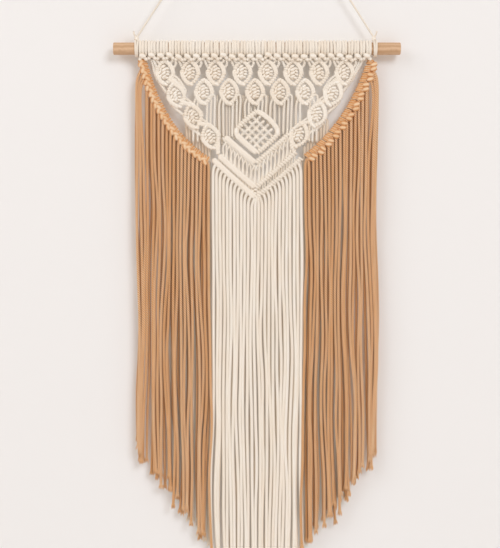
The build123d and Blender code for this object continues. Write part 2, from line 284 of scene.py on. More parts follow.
@dataclass(frozen=True)
class Cord:
    """Twisted cotton cord: strands laid round each other."""

    radius: float = 1.85
    strands: int = 3
    lay: float = 9.6  # the length of one whole turn of a strand
    crease: float = 0.3  # how deep the creases between strands are, as a share of the radius
    around: int = 9
    step: float = 1.1
    flare: float = 0.0  # how much wider a cut end is
    flare_length: float = 6.0

    def surface(self, line: np.ndarray, ref: np.ndarray = FRONT) -> tuple[np.ndarray, np.ndarray]:
        """Rings round a line, each turned a little further than the last.

        The radius round a ring is R (1 - c (1 - |sin(n a / 2)|)), a trefoil for three strands. At a cut end
        R grows by a bell curve of the distance from the end, and the creases deepen with it. Both ends close
        like a dome.

        Args:
            line: the centreline, in mm.
            ref: a direction that the line never follows.

        Returns:
            The rings and their distances along the line.
        """
        line = resample(line, self.step)
        along = arc_lengths(line)
        left = along[-1] - along
        bell = np.exp(-((left / self.flare_length) ** 2)) * (self.flare > 0)
        lobe = np.abs(np.sin(self.strands * np.pi * np.arange(self.around) / self.around))
        crease = self.crease + 0.4 * bell
        size = self.radius * (1 + self.flare * bell) * self.dome(np.minimum(along, left))
        radii = size[:, None] * (1 - crease[:, None] * (1 - lobe[None, :]))
        return tube_grid(line, radii, TAU * along / self.lay, ref), along

    def dome(self, inward: np.ndarray) -> np.ndarray:
        """How the radius closes at an end: from about a third, by a quarter circle over half a radius."""
        share = np.clip(inward / (self.radius * 0.5), 0, 1)
        return 0.35 + 0.65 * np.sqrt(1 - (1 - share) ** 2)

    def lay_in(self, bank: Bank, line: np.ndarray, tone: float, ref: np.ndarray = FRONT) -> None:
        """Adds this cord to a bank along a line.

        Args:
            bank: where it goes.
            line: its centreline, in mm.
            tone: its tone.
            ref: a direction that the line never follows.
        """
        grid, along = self.surface(line, ref)
        bank.add(grid, tone, along)


@dataclass(frozen=True)
class Ridge:
    """A row of hitches that lie so close along their carrier cord that it looks smooth."""

    radius: float = 2.9
    pitch: float = 4.2  # from one faint seam to the next
    depth: float = 0.22  # of the seams, as a share of the radius
    slant: int = 1  # how many hitches further on a seam is after one turn round the row
    around: int = 14
    rings: int = 6  # for each hitch

    def lay_in(self, bank: Bank, line: np.ndarray, tone: float, ref: np.ndarray = FRONT) -> None:
        """Adds the row to a bank along a line.

        The radius is R (1 - d (1 - sqrt|sin(pi (s/p + k a/turn))|)), seams that slant by k hitches in a turn,
        and it closes like a dome at both ends.

        Args:
            bank: where it goes.
            line: its centreline, in mm.
            tone: its tone.
            ref: a direction that the line never follows.
        """
        line = resample(line, self.pitch / self.rings)
        along = arc_lengths(line)
        angle = np.arange(self.around) / self.around
        rib = np.sqrt(np.abs(np.sin(np.pi * (along[:, None] / self.pitch + self.slant * angle[None, :]))))
        inward = np.minimum(along, along[-1] - along)
        dome = np.sqrt(np.clip(1 - (1 - np.clip(inward / self.radius, 0, 1)) ** 2, 0.01, 1))
        radii = self.radius * dome[:, None] * (1 - self.depth * (1 - rib))
        bank.add(tube_grid(line, radii, np.zeros(len(line)), ref), tone, along)


@dataclass(frozen=True)
class Hitches:
    """A row of hitches that stand square to their carrier cord, so that each one shows as a rib."""

    radius: float = 2.8
    pitch: float = 2.9
    cord: float = 1.4
    lean: float = 0.25  # how far each hitch leans along the row
    around: int = 14
    section: int = 8
    uneven: float = 0.03  # how much thicker or thinner one hitch is than another, as a share
    core: float = 0.62  # the radius of the plain core, as a share of the row's

    def lay_in(self, bank: Bank, line: np.ndarray, tone: float, ref: np.ndarray = FRONT) -> None:
        """Adds one loop of cord for each hitch, evenly along a line, over a plain core.

        Args:
            bank: where it goes.
            line: the carrier's centreline, in mm.
            tone: its tone.
            ref: a direction that the line never follows.
        """
        even = resample(line, 0.5)
        along = arc_lengths(even)
        way = np.gradient(even, axis=0)
        way /= np.linalg.norm(way, axis=1, keepdims=True)
        count = max(2, round(along[-1] / self.pitch))
        for k in range(count):
            n = int(round((k + 0.5) / count * (len(even) - 1)))
            axis = way[n] + self.lean * np.cross(way[n], ref)
            waver = self.uneven * math.sin(5.3 * k + 9.1 * tone)
            size = (self.radius - self.cord) * (1 + 3 * waver)
            cord = self.cord * (1 + waver)
            add_loop(bank, even[n], axis, size, cord, tone + waver, self.around, self.section)
        core = Ridge(self.radius * self.core, pitch=6.0, depth=0.0, around=8, rings=3)
        core.lay_in(bank, even, tone, ref)


SMOOTH = Ridge()  # the leaves' smooth edges and the smooth ridges beside the left band


def add_loop(bank: Bank, centre: np.ndarray, axis: np.ndarray, size: float, cord: float, tone: float,
             around: int = 20, section: int = 8) -> None:
    """Adds one closed loop of cord, as where it wraps round something.

    Args:
        bank: where it goes.
        centre: its middle, as (x, y, drop) in mm.
        axis: the direction that it goes round.
        size: from its middle to the middle of its cord.
        cord: the cord's radius.
        tone: its tone.
        around: points along the loop.
        section: points round the cord.
    """
    axis = np.asarray(axis, float) / np.linalg.norm(axis)
    first = np.cross(axis, SIDEWAYS if abs(axis[0]) < 0.8 else FRONT)
    first /= np.linalg.norm(first)
    second = np.cross(axis, first)
    a = TAU * np.arange(around)[:, None] / around
    out = np.cos(a) * first + np.sin(a) * second
    b = TAU * np.arange(section) / section
    # handed so that faces point outwards once drop has become height
    ring = out[:, None] * (size + cord * np.cos(b))[None, :, None] - axis * (cord * np.sin(b))[None, :, None]
    bank.add(centre + ring, tone, size * a[:, 0], closed=True)


def add_lump(bank: Bank, centre: tuple[float, float, float], half: tuple[float, float, float], tone: float,
             lean: float = 0.0, around: int = 10, rings: int = 8) -> None:
    """Adds a rounded bar of cord, an ellipsoid longest along its own x.

    Args:
        bank: where it goes.
        centre: its middle, in mm.
        half: half its length, depth and height.
        tone: its tone.
        lean: how far its right end is turned down, in degrees.
        around: points round it.
        rings: rings along it.
    """
    t = np.linspace(0.03, 0.97, rings) * np.pi
    reach, size = -np.cos(t) * half[0], np.sin(t) ** 0.7
    a = TAU * np.arange(around) / around
    y, z = half[1] * np.cos(a)[None] * size[:, None], half[2] * np.sin(a)[None] * size[:, None]
    x = np.broadcast_to(reach[:, None], y.shape)
    c, s = math.cos(math.radians(lean)), math.sin(math.radians(lean))
    grid = np.stack([c * x - s * z, y, s * x + c * z], axis=-1) + np.array(centre)
    bank.add(grid, tone, reach + half[0])


def lay_routes(bank: Bank, style: Cord | Ridge | Hitches, routes: list[list[list[float]]], base: float,
               spread: float, rng: np.random.Generator) -> None:
    """Adds a cord or a row of hitches along each route, each with its own tone.

    Args:
        bank: where they go.
        style: what is laid along them.
        routes: the control points (x, y, drop) of each, in mm.
        base: the darkest tone.
        spread: how far above it tones go.
        rng: where the tones come from.
    """
    for line in read_splines([np.array(route) for route in routes]):
        style.lay_in(bank, line, base + spread * rng.random())


# ---------------------------------------------------------------- finishes
def new_group(name: str, inputs: dict[str, object], outputs: dict[str, str]) -> bpy.types.NodeTree:
    """A shader node group with named sockets.

    Args:
        name: the group's name.
        inputs: each input's name and default, a number or a colour.
        outputs: each output's name and socket type.

    Returns:
        The group, with its input and output nodes made.
    """
    group = bpy.data.node_groups.new(name, "ShaderNodeTree")
    for key, value in inputs.items():
        kind = "NodeSocketFloat" if isinstance(value, float) else "NodeSocketColor"
        group.interface.new_socket(key, in_out="INPUT", socket_type=kind).default_value = value
    for key, kind in outputs.items():
        group.interface.new_socket(key, in_out="OUTPUT", socket_type=kind)
    group.nodes.new("NodeGroupInput")
    group.nodes.new("NodeGroupOutput")
    return group


class Wires:
    """Adds nodes to a tree and links them."""

    def __init__(self, tree: bpy.types.NodeTree) -> None:
        """Takes the tree to work on."""
        self.tree = tree

    def node(self, kind: str, settings: dict[str, object] | None = None, **links: object) -> bpy.types.Node:
        """Adds a node.

        Args:
            kind: its type.
            settings: its own properties.
            links: for each input, by name or by place as i0, i1 and so on, a socket to link or a value.

        Returns:
            The node.
        """
        made = self.tree.nodes.new(kind)
        for key, value in (settings or {}).items():
            setattr(made, key, value)
        for key, value in links.items():
            place = int(key[1:]) if key[0] == "i" and key[1:].isdigit() else key.replace("_", " ")
            socket = made.inputs[place]
            if isinstance(value, bpy.types.NodeSocket):
                self.tree.links.new(value, socket)
            else:
                socket.default_value = value
        return made

    def math(self, what: str, a: object, b: object = 0.0) -> bpy.types.NodeSocket:
        """One arithmetic step."""
        return self.node("ShaderNodeMath", {"operation": what}, i0=a, i1=b).outputs[0]

    def mix(self, share: object, a: object, b: object, blend: str = "MIX") -> bpy.types.NodeSocket:
        """Mixes two colours.

        Args:
            share: how much there is of the second, or how strongly it is blended in.
            a: the first colour.
            b: the second colour.
            blend: how they are put together.

        Returns:
            The mixed colour's socket.
        """
        settings = {"data_type": "RGBA", "blend_type": blend}
        return self.node("ShaderNodeMix", settings, i0=share, i6=a, i7=b).outputs[2]

    def ends(self) -> tuple[bpy.types.Node, bpy.types.Node]:
        """The group's input and output nodes."""
        return self.tree.nodes["Group Input"], self.tree.nodes["Group Output"]


def cotton_group() -> bpy.types.NodeTree:
    """Spun cotton, used by both colours of cord.

    Fibres are a noise stretched along the strand, strands are a crease three times round the cord, darkened
    towards
    Deep as painted shade, and the colour drifts a little along each cord and from cord to cord.

    Returns:
        The group, made once.
    """
    if "spun cotton" in bpy.data.node_groups:
        return bpy.data.node_groups["spun cotton"]
    inputs = {"Light": (1, 1, 1, 1), "Deep": (0.5, 0.5, 0.5, 1), "Crease Shade": 0.3, "Fuzz": 0.5}
    group = new_group("spun cotton", inputs, {"Color": "NodeSocketColor", "Roughness": "NodeSocketFloat",
                                              "Height": "NodeSocketFloat"})
    w = Wires(group)
    given, result = w.ends()
    strand = w.node("ShaderNodeUVMap", {"uv_map": "strand"}).outputs[0]
    split = w.node("ShaderNodeSeparateXYZ", i0=strand)
    around, along = split.outputs[0], split.outputs[1]
    ply = w.math("ABSOLUTE", w.math("SINE", w.math("MULTIPLY", around, 3 * math.pi)))
    fine = {"i0": w.math("MULTIPLY", around, 26.0), "i1": w.math("MULTIPLY", along, 7.0)}
    stretched = w.node("ShaderNodeCombineXYZ", **fine).outputs[0]
    fibre = w.node("ShaderNodeTexNoise", i0=stretched, Scale=1.0, Detail=3.0, Roughness=0.6).outputs[0]
    tone = w.node("ShaderNodeAttribute", {"attribute_name": "tone"}).outputs["Fac"]
    slow = {"i0": w.math("MULTIPLY", along, 0.35), "i1": w.math("MULTIPLY", tone, 37.0)}
    spread = w.node("ShaderNodeCombineXYZ", **slow).outputs[0]
    drift = w.node("ShaderNodeTexNoise", i0=spread, Scale=1.0, Detail=2.0).outputs[0]
    shade = w.math("ADD", w.math("MULTIPLY", tone, 0.55), w.math("MULTIPLY", drift, 0.45))
    shade = w.math("ADD", shade, w.math("MULTIPLY", w.math("SUBTRACT", fibre, 0.5), given.outputs["Fuzz"]))
    base = w.mix(shade, given.outputs["Deep"], given.outputs["Light"])
    # painted shade in the creases between strands: the colour is darkened there towards Deep
    crease_shade = w.math("MULTIPLY", w.math("POWER", w.math("SUBTRACT", 1.0, ply), 0.7), given.outputs["Crease Shade"])
    dark = w.mix(crease_shade, base, w.mix(1.0, base, given.outputs["Deep"], "MULTIPLY"))
    height = w.math("ADD", w.math("MULTIPLY", ply, 0.6), w.math("MULTIPLY", fibre, 0.4))
    w.tree.links.new(dark, result.inputs["Color"])
    w.tree.links.new(w.math("SUBTRACT", 0.97, w.math("MULTIPLY", fibre, 0.12)), result.inputs["Roughness"])
    w.tree.links.new(height, result.inputs["Height"])
    return group


def grain_group() -> bpy.types.NodeTree:
    """Wood grain along X: long streaks and short pores on the side, and growth rings on the ends.

    Returns:
        The group, made once.
    """
    if "wood grain" in bpy.data.node_groups:
        return bpy.data.node_groups["wood grain"]
    inputs = {"Light": (1, 1, 1, 1), "Deep": (0.5, 0.5, 0.5, 1)}
    group = new_group("wood grain", inputs, {"Color": "NodeSocketColor", "Roughness": "NodeSocketFloat",
                                             "Height": "NodeSocketFloat"})
    w = Wires(group)
    given, result = w.ends()
    where = w.node("ShaderNodeTexCoord").outputs["Object"]
    long = w.node("ShaderNodeMapping", i0=where, Scale=(9.0, 260.0, 260.0)).outputs[0]
    streak = w.node("ShaderNodeTexNoise", i0=long, Scale=1.0, Detail=4.0, Roughness=0.62).outputs[0]
    short = w.node("ShaderNodeMapping", i0=where, Scale=(120.0, 1500.0, 1500.0)).outputs[0]
    pore = w.node("ShaderNodeTexNoise", i0=short, Scale=1.0, Detail=1.0).outputs[0]
    pores = w.node("ShaderNodeMapRange", i0=pore, i1=0.62, i2=0.75).outputs[0]
    bands = w.node("ShaderNodeMapping", i0=where, Location=(0, 0.011, 0.2435), Scale=(1.5, 1, 1)).outputs[0]
    ring = w.node("ShaderNodeTexWave", {"wave_type": "RINGS", "rings_direction": "X"}, i0=bands, Scale=150.0,
                  Distortion=2.5, Detail=2.0).outputs[1]
    tint = w.math("ADD", w.math("MULTIPLY", streak, 0.75), w.math("MULTIPLY", ring, 0.25))
    ramp = w.node("ShaderNodeMapRange", i0=tint, i1=0.3, i2=0.75).outputs[0]
    base = w.mix(ramp, given.outputs["Light"], given.outputs["Deep"])
    pored = w.mix(w.math("MULTIPLY", pores, 0.45), base, given.outputs["Deep"])
    w.tree.links.new(pored, result.inputs["Color"])
    w.tree.links.new(w.math("ADD", 0.5, w.math("MULTIPLY", streak, 0.25)), result.inputs["Roughness"])
    w.tree.links.new(w.math("SUBTRACT", streak, w.math("MULTIPLY", pores, 0.7)), result.inputs["Height"])
    return group


def new_material(name: str) -> tuple[bpy.types.Material, Wires, bpy.types.Node]:
    """A material with nodes, its wires and its Principled node."""
    material = bpy.data.materials.new(name)
    material.use_nodes = True
    return material, Wires(material.node_tree), material.node_tree.nodes["Principled BSDF"]


def dress(wires: Wires, shader: bpy.types.Node, group: bpy.types.NodeTree, values: dict[str, object],
          distance: float, strength: float) -> None:
    """Puts a group in a material and feeds the shader's colour, roughness and bump from it.

    Args:
        wires: the material's wires.
        shader: its Principled node.
        group: the node group.
        values: the group's input values here.
        distance: how deep the bump is, in metres.
        strength: how strong it is.
    """
    node = wires.node("ShaderNodeGroup", {"node_tree": group})
    for key, value in values.items():
        node.inputs[key].default_value = value
    bump = wires.node("ShaderNodeBump", Strength=strength, Distance=distance, Height=node.outputs["Height"])
    wires.tree.links.new(node.outputs["Color"], shader.inputs["Base Color"])
    wires.tree.links.new(node.outputs["Roughness"], shader.inputs["Roughness"])
    wires.tree.links.new(bump.outputs[0], shader.inputs["Normal"])


@dataclass(frozen=True)
class Cotton:
    """One colour of cotton cord."""

    name: str
    light: tuple[float, float, float]
    deep: tuple[float, float, float]
    crease: float  # how dark the painted shade in the creases between strands is
    fuzz: float  # how much single fibres differ in tone

    def make(self) -> bpy.types.Material:
        """The material."""
        material, wires, shader = new_material(self.name)
        shader.inputs["Sheen Weight"].default_value = 0.12
        shader.inputs["Sheen Roughness"].default_value = 0.5
        shader.inputs["Specular IOR Level"].default_value = 0.2
        values = {"Light": (*self.light, 1), "Deep": (*self.deep, 1), "Crease Shade": self.crease,
                  "Fuzz": self.fuzz}
        dress(wires, shader, cotton_group(), values, distance=0.0005, strength=0.5)
        return material


@dataclass(frozen=True)
class Wood:
    """Bare sanded wood."""

    light: tuple[float, float, float] = (0.72, 0.48, 0.30)
    deep: tuple[float, float, float] = (0.50, 0.29, 0.15)

    def make(self) -> bpy.types.Material:
        """The material."""
        material, wires, shader = new_material("sanded beech")
        values = {"Light": (*self.light, 1), "Deep": (*self.deep, 1)}
        dress(wires, shader, grain_group(), values, distance=0.0001, strength=0.35)
        return material


@dataclass(frozen=True)
class Brass:
    """Brushed brass with fine scratches along X."""

    colour: tuple[float, float, float] = (0.72, 0.52, 0.24)

    def make(self) -> bpy.types.Material:
        """The material."""
        material, w, shader = new_material("brushed brass")
        shader.inputs["Metallic"].default_value = 1.0
        where = w.node("ShaderNodeTexCoord").outputs["Object"]
        long = w.node("ShaderNodeMapping", i0=where, Scale=(60.0, 4000.0, 4000.0)).outputs[0]
        scratch = w.node("ShaderNodeTexNoise", i0=long, Scale=1.0, Detail=2.0).outputs[0]
        colour = w.mix(scratch, (*self.colour, 1), (*(0.8 * c for c in self.colour), 1))
        bump = w.node("ShaderNodeBump", Strength=0.25, Distance=0.00005, Height=scratch)
        w.tree.links.new(colour, shader.inputs["Base Color"])
        w.tree.links.new(w.math("ADD", 0.22, w.math("MULTIPLY", scratch, 0.2)), shader.inputs["Roughness"])
        w.tree.links.new(bump.outputs[0], shader.inputs["Normal"])
        return material


class Finish(Enum):
    """The finishes, each with its name."""

    CREAM = "cream_cotton"
    TAN = "tan_cotton"
    WOOD = "dowel_wood"
    BRASS = "hook_brass"

    def material(self) -> bpy.types.Material:
        """This finish's material, made the first time."""
        if self.value not in MADE:
            MADE[self.value] = RECIPES[self.value].make()
        return MADE[self.value]


MADE: dict[str, bpy.types.Material] = {}
RECIPES = {
    # the Deep colours also serve as painted shade: the creases between strands darken towards them, and the
    # low-toned cords of the back layers take most of their colour
    "cream_cotton": Cotton("undyed cotton", (0.955, 0.93, 0.88), (0.84, 0.70, 0.54), 0.3, 0.2),
    "tan_cotton": Cotton("tan dyed cotton", (0.91, 0.735, 0.535), (0.73, 0.40, 0.15), 1.0, 0.35),
    "dowel_wood": Wood(),
    "hook_brass": Brass(),
}


# ---------------------------------------------------------------- hook, hanger and dowel
@dataclass
class Dowel:
    """A turned stick with lightly broken ends."""

    length: float = 350.0
    radius: float = 7.5
    edge: float = 0.9
    around: int = 64
    step: float = 2.5
    waver: float = 0.05

    def make(self) -> None:
        """Builds the stick as a profile turned round X: a flat end, a rounded edge, then a long straight side
        whose radius wavers by a slow sine, as sanding leaves it."""
        half = self.length / 2
        corner = np.linspace(0, np.pi / 2, 6)
        end_x = half - self.edge + self.edge * np.cos(corner)
        end_r = self.radius - self.edge + self.edge * np.sin(corner)
        side_x = np.arange(-half + self.edge + self.step, half - self.edge - 1, self.step)
        side_r = self.radius - self.waver * (1 - np.sin(side_x / 17.0)) / 2
        inner = np.array([0.4, 0.6]) * self.radius
        xs = np.concatenate([[-half, -half], -end_x, side_x, end_x[::-1], [half, half]])
        rs = np.concatenate([inner, end_r, side_r, end_r[::-1], inner[::-1]])
        a = TAU * np.arange(self.around) / self.around
        grid = np.stack([np.broadcast_to(xs[:, None], (len(xs), self.around)), np.outer(rs, np.cos(a)),
                         np.outer(rs, np.sin(a))], axis=-1)
        bank = Bank()
        bank.add(grid, 0.5, half + xs)
        bank.build("dowel_stick", Finish.WOOD, "panel", "dowel")


@dataclass
class Hanger:
    """The thin cord that the dowel hangs from: two legs, the eye over the peg and a tie at each dowel end."""

    cord: Cord = Cord(radius=1.4, lay=6.0, around=9, step=0.9)
    eye: float = 6.5
    ties: tuple[float, float] = (-146.4, 143.9)
    feet: tuple[float, float] = (-147.0, 142.7)
    tie_radius: float = 9.2
    tie_cord: float = 1.3  # the radius of the cord in the ties, pulled thin
    apart: float = 1.15  # half the distance between a tie's two turns
    coil: float = 2.6  # the radius of the coil below the eye, and half its height
    knot_up: float = 3.6  # from the foot of the knot's solid to the middle of the coil

    def legs(self, eye_piece: bpy.types.Object) -> None:
        """Args:
            eye_piece: the eye and its knot, which the legs end in. It is not used.
        """
        for name, x in zip(("left", "right"), self.feet):
            low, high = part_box(f"hanger_leg_{name}")
            foot = [x, 0.0, (DATUM.dowel_z - low.z) / MM + 0.4]
            head = [math.copysign(1.5, x), 0.0, (DATUM.dowel_z - high.z) / MM - 1.0]
            between = [[(1 - k) * foot[0] + k * head[0], 0.0, (1 - k) * foot[2] + k * head[2]]
                       for k in (0.25, 0.75)]
            line = read_splines([np.array([foot, *between, head])])[0]
            bank = Bank()
            self.cord.lay_in(bank, line, 0.8)
            piece = bank.build(f"hanger_leg_{name}_cord", Finish.CREAM, "hanger", f"hanger_leg_{name}")
            path = DATUM.place(line)

    def eye_knot(self) -> bpy.types.Object:
        """Builds the eye over the peg and the knot that closes it.

        Returns:
            The piece.
        """
        bank = Bank()
        low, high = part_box("hanger_knot")
        top = (DATUM.dowel_z - high.z) / MM
        foot = (DATUM.dowel_z - low.z) / MM
        middle = top + self.cord.radius + self.eye
        a = np.radians(np.linspace(-60, 240, 60))
        narrow = np.where(np.sin(a) < 0, 0.9, 1.0)
        eye = np.stack([self.eye * np.cos(a) * narrow, 0 * a, middle - self.eye * np.sin(a)], axis=1)
        start, end = ([[side * 1.2, 0, foot - 5.5]] for side in (1, -1))
        self.cord.lay_in(bank, np.concatenate([start, eye, end]), 0.8)
        centre = foot - self.knot_up
        turns = Cord(radius=1.35, around=9, lay=6.0, step=0.7)
        b = np.linspace(0, 3 * TAU, 70)
        down = centre - self.coil + 2 * self.coil * b / b[-1]
        coil = np.stack([self.coil * np.cos(b), self.coil * np.sin(b), down], axis=1)
        turns.lay_in(bank, coil, 0.75, np.array([0.0, 0.0, 1.0]))
        add_lump(bank, (0, 0, centre), (2.2, 2.2, 2.9), 0.7)
        return bank.build("hanger_eye_and_knot", Finish.CREAM, "hanger", "hanger_knot")

    def tie_rings(self) -> None:
        """Builds each tie: two turns round the dowel, a knot on top and its cut tail."""
        for name, x, knot in zip(("left", "right"), self.ties, self.feet):
            bank = Bank()
            turn = math.copysign(1.0, x)
            for shift in (-self.apart, self.apart):
                lean = [1, 0, 0.03 * shift]
                add_loop(bank, np.array([x + shift, 0, 0]), lean, self.tie_radius, self.tie_cord, 0.7, 36)
            foot = -self.tie_radius - 3.2
            add_lump(bank, (knot, 0, foot), (2.9, 2.5, 2.1), 0.75, 20 * turn)
            add_lump(bank, (knot - 0.8 * turn, -1.4, foot + 1.6), (2.3, 1.8, 1.6), 0.8, -35 * turn)
            tip = knot - 3.4 if turn < 0 else knot + 3.0
            tail = [[knot, 0, foot], [knot + (tip - knot) * 0.5, -1, foot - 3.5], [tip, -1.5, foot - 6.0],
                    [tip + 0.4, -1.2, foot - 9.0]]
            thin = Cord(radius=1.15, lay=5.0, step=0.8, flare=0.3, flare_length=2.0)
            thin.lay_in(bank, read_splines([np.array(tail)])[0], 0.7)
            bank.build(f"hanger_tie_{name}_knot", Finish.CREAM, "hanger", f"hanger_tie_{name}")


# ---------------------------------------------------------------- knots on the dowel
@dataclass
class MountingRow:
    """The knots on the dowel: three wraps each, and a thick bar with two smaller lumps across the foot."""

    knots: int = 26
    pitch: float = 10.9
    wraps: int = 3
    wrap_radius: float = 1.76
    ring: float = 8.6  # from the dowel's axis to the middle of a wrap's cord
    shift: float = -2.4  # of the whole row from the dowel's middle

    def knot_x(self) -> np.ndarray:
        """Where each knot is, in mm from the dowel's middle."""
        return self.shift + (np.arange(self.knots) - (self.knots - 1) / 2) * self.pitch

    def make(self) -> None:
        """Builds all of them as one piece, each wrap leaning a little its own way."""
        rng = np.random.default_rng(11)
        bank = Bank()
        for x in self.knot_x():
            tone = 0.6 + 0.35 * rng.random()
            for k in range(self.wraps):
                at = x + (k - (self.wraps - 1) / 2) * self.pitch / self.wraps + 0.15 * rng.normal()
                lean = [1, 0.02 * rng.normal(), 0.02 * rng.normal()]
                size = self.ring + 0.15 * rng.normal()
                add_loop(bank, np.array([at, 0, 0]), lean, size, self.wrap_radius, tone, 32)
            lift, lean = 0.8 * rng.normal(), 10 * rng.normal()
            # the bar across the front, the two cords that come out under it, and the bar behind
            add_lump(bank, (x - 0.4, -7.0, 10.2 + lift), (4.3, 3.4, 3.2), tone, 16 + lean, 12, 9)
            add_lump(bank, (x + 3.3, -5.2, 13.4 + lift), (2.8, 2.5, 2.3), tone, lean + 40)
            add_lump(bank, (x - 3.4, -4.6, 13.2 + lift), (2.6, 2.3, 2.2), tone, lean - 45)
            add_lump(bank, (x, 4.5, 11.3), (4.4, 2.6, 2.4), tone, lean, 12, 9)
        bank.build("mounting_knot_row", Finish.CREAM, "panel", "mounting_knots")


# ---------------------------------------------------------------- leaves
@dataclass
class Leaf:
    """One leaf motif: four hitched edges round a berry knot, two opposite ones smooth and two ribbed."""

    x: float
    drop: float
    half_width: float = 9.9
    half_height: float = 14.0
    tilt: float = 0.0
    underlap: float = 0.16  # the part of a quarter that a smooth edge starts under its neighbour
    tuck: float = 2.6  # how far behind it starts
    rise: float = 1.2  # how far forward the middle of an edge stands

    def turned(self, x: np.ndarray, y: np.ndarray, up: np.ndarray) -> np.ndarray:
        """Points given in the leaf's own axes turned by its tilt and put in place."""
        c, s = math.cos(math.radians(self.tilt)), math.sin(math.radians(self.tilt))
        across, drop = self.x + c * x - s * up, self.drop - (s * x + c * up)
        return np.stack([across, np.broadcast_to(y, np.shape(x)), drop], axis=-1)

    def edge(self, quarter: int) -> np.ndarray:
        """One quarter of the outline, counted anticlockwise from the right.

        It is a rounded diamond: x = w |cos a|^1.3 and z = h |sin a|^1.3, with their signs. The smooth
        quarters start under the ribbed ones.

        Args:
            quarter: 0 upper right, 1 upper left, 2 lower left, 3 lower right.

        Returns:
            Its points in mm.
        """
        share = np.linspace(0.0, 1.0, 24)
        if quarter in (0, 2):
            share = np.linspace(-self.underlap, 1.04, 28)
        under = self.tuck * np.clip(-share / self.underlap, 0, 1)
        a = (quarter + share) * np.pi / 2
        c, s = np.cos(a), np.sin(a)
        x = self.half_width * np.sign(c) * np.abs(c) ** 1.3
        up = self.half_height * np.sign(s) * np.abs(s) ** 1.3
        lift = under - self.rise * np.sin(np.linspace(0, np.pi, len(share)))
        return self.turned(x, lift, up)

    def spot(self, x: float, y: float, up: float) -> tuple[float, float, float]:
        """One point given in the leaf's own axes."""
        return tuple(self.turned(np.array(x), np.array(y), np.array(up)))

    def berry(self, bank: Bank, tone: float, rng: np.random.Generator) -> None:
        """Adds the berry: a flat core under three columns of short bars, each a cord crossing over.

        Args:
            bank: where it goes.
            tone: its tone.
            rng: where its small differences come from.
        """
        add_lump(bank, self.spot(-1.2, 0.4, -0.6), (8.2, 2.6, 5.4), tone - 0.15, 90 - self.tilt, 14, 10)
        columns = (((-4.7, -1.2, 4.2), (-5.6, -1.2, 0.1), (-4.7, -1.2, -4.1)),
                   ((-1.5, -2.6, 6.9), (-0.9, -3.2, 2.9), (-0.9, -3.2, -1.2), (-0.9, -2.8, -5.4)),
                   ((2.7, -2.2, 4.7), (3.6, -2.2, 1.0), (3.5, -2.2, -2.7), (2.2, -1.8, -6.3)))
        styles = (((2.9, 2.2, 1.8), -52.0), ((3.2, 2.4, 1.95), -28.0), ((2.6, 2.0, 1.6), 14.0))
        for column, (half, lean) in zip(columns, styles):
            for x, y, up in column:
                place = self.spot(x + 0.25 * rng.normal(), y, up + 0.25 * rng.normal())
                add_lump(bank, place, half, tone + 0.08 * rng.normal(), lean - self.tilt + 8 * rng.normal())

    def make(self, name: str, node: str, berries: Bank, rng: np.random.Generator) -> None:
        """Builds the leaf's edges as one piece, and adds its berry to the others.

        Args:
            name: the piece's name.
            node: the CAD node that it stands for.
            berries: the berries' bank.
            rng: where its small differences come from.
        """
        bank = Bank()
        tone = 0.6 + 0.35 * rng.random()
        ribs = Hitches(radius=3.0, pitch=3.2 + 0.2 * rng.random(), cord=1.3)
        for quarter in (1, 3):
            ribs.lay_in(bank, self.edge(quarter), tone)
        for quarter in (0, 2):
            SMOOTH.lay_in(bank, self.edge(quarter), tone)
        for end, side in ((1, -1), (-1, 1)):
            knot = self.spot(0.9 * side, -1.4, end * (self.half_height + 0.4))
            add_lump(bank, knot, (3.3, 2.7, 2.3), tone, 25 * side - self.tilt)
        self.berry(berries, tone, rng)
        bank.build(name, Finish.CREAM, "panel", node)


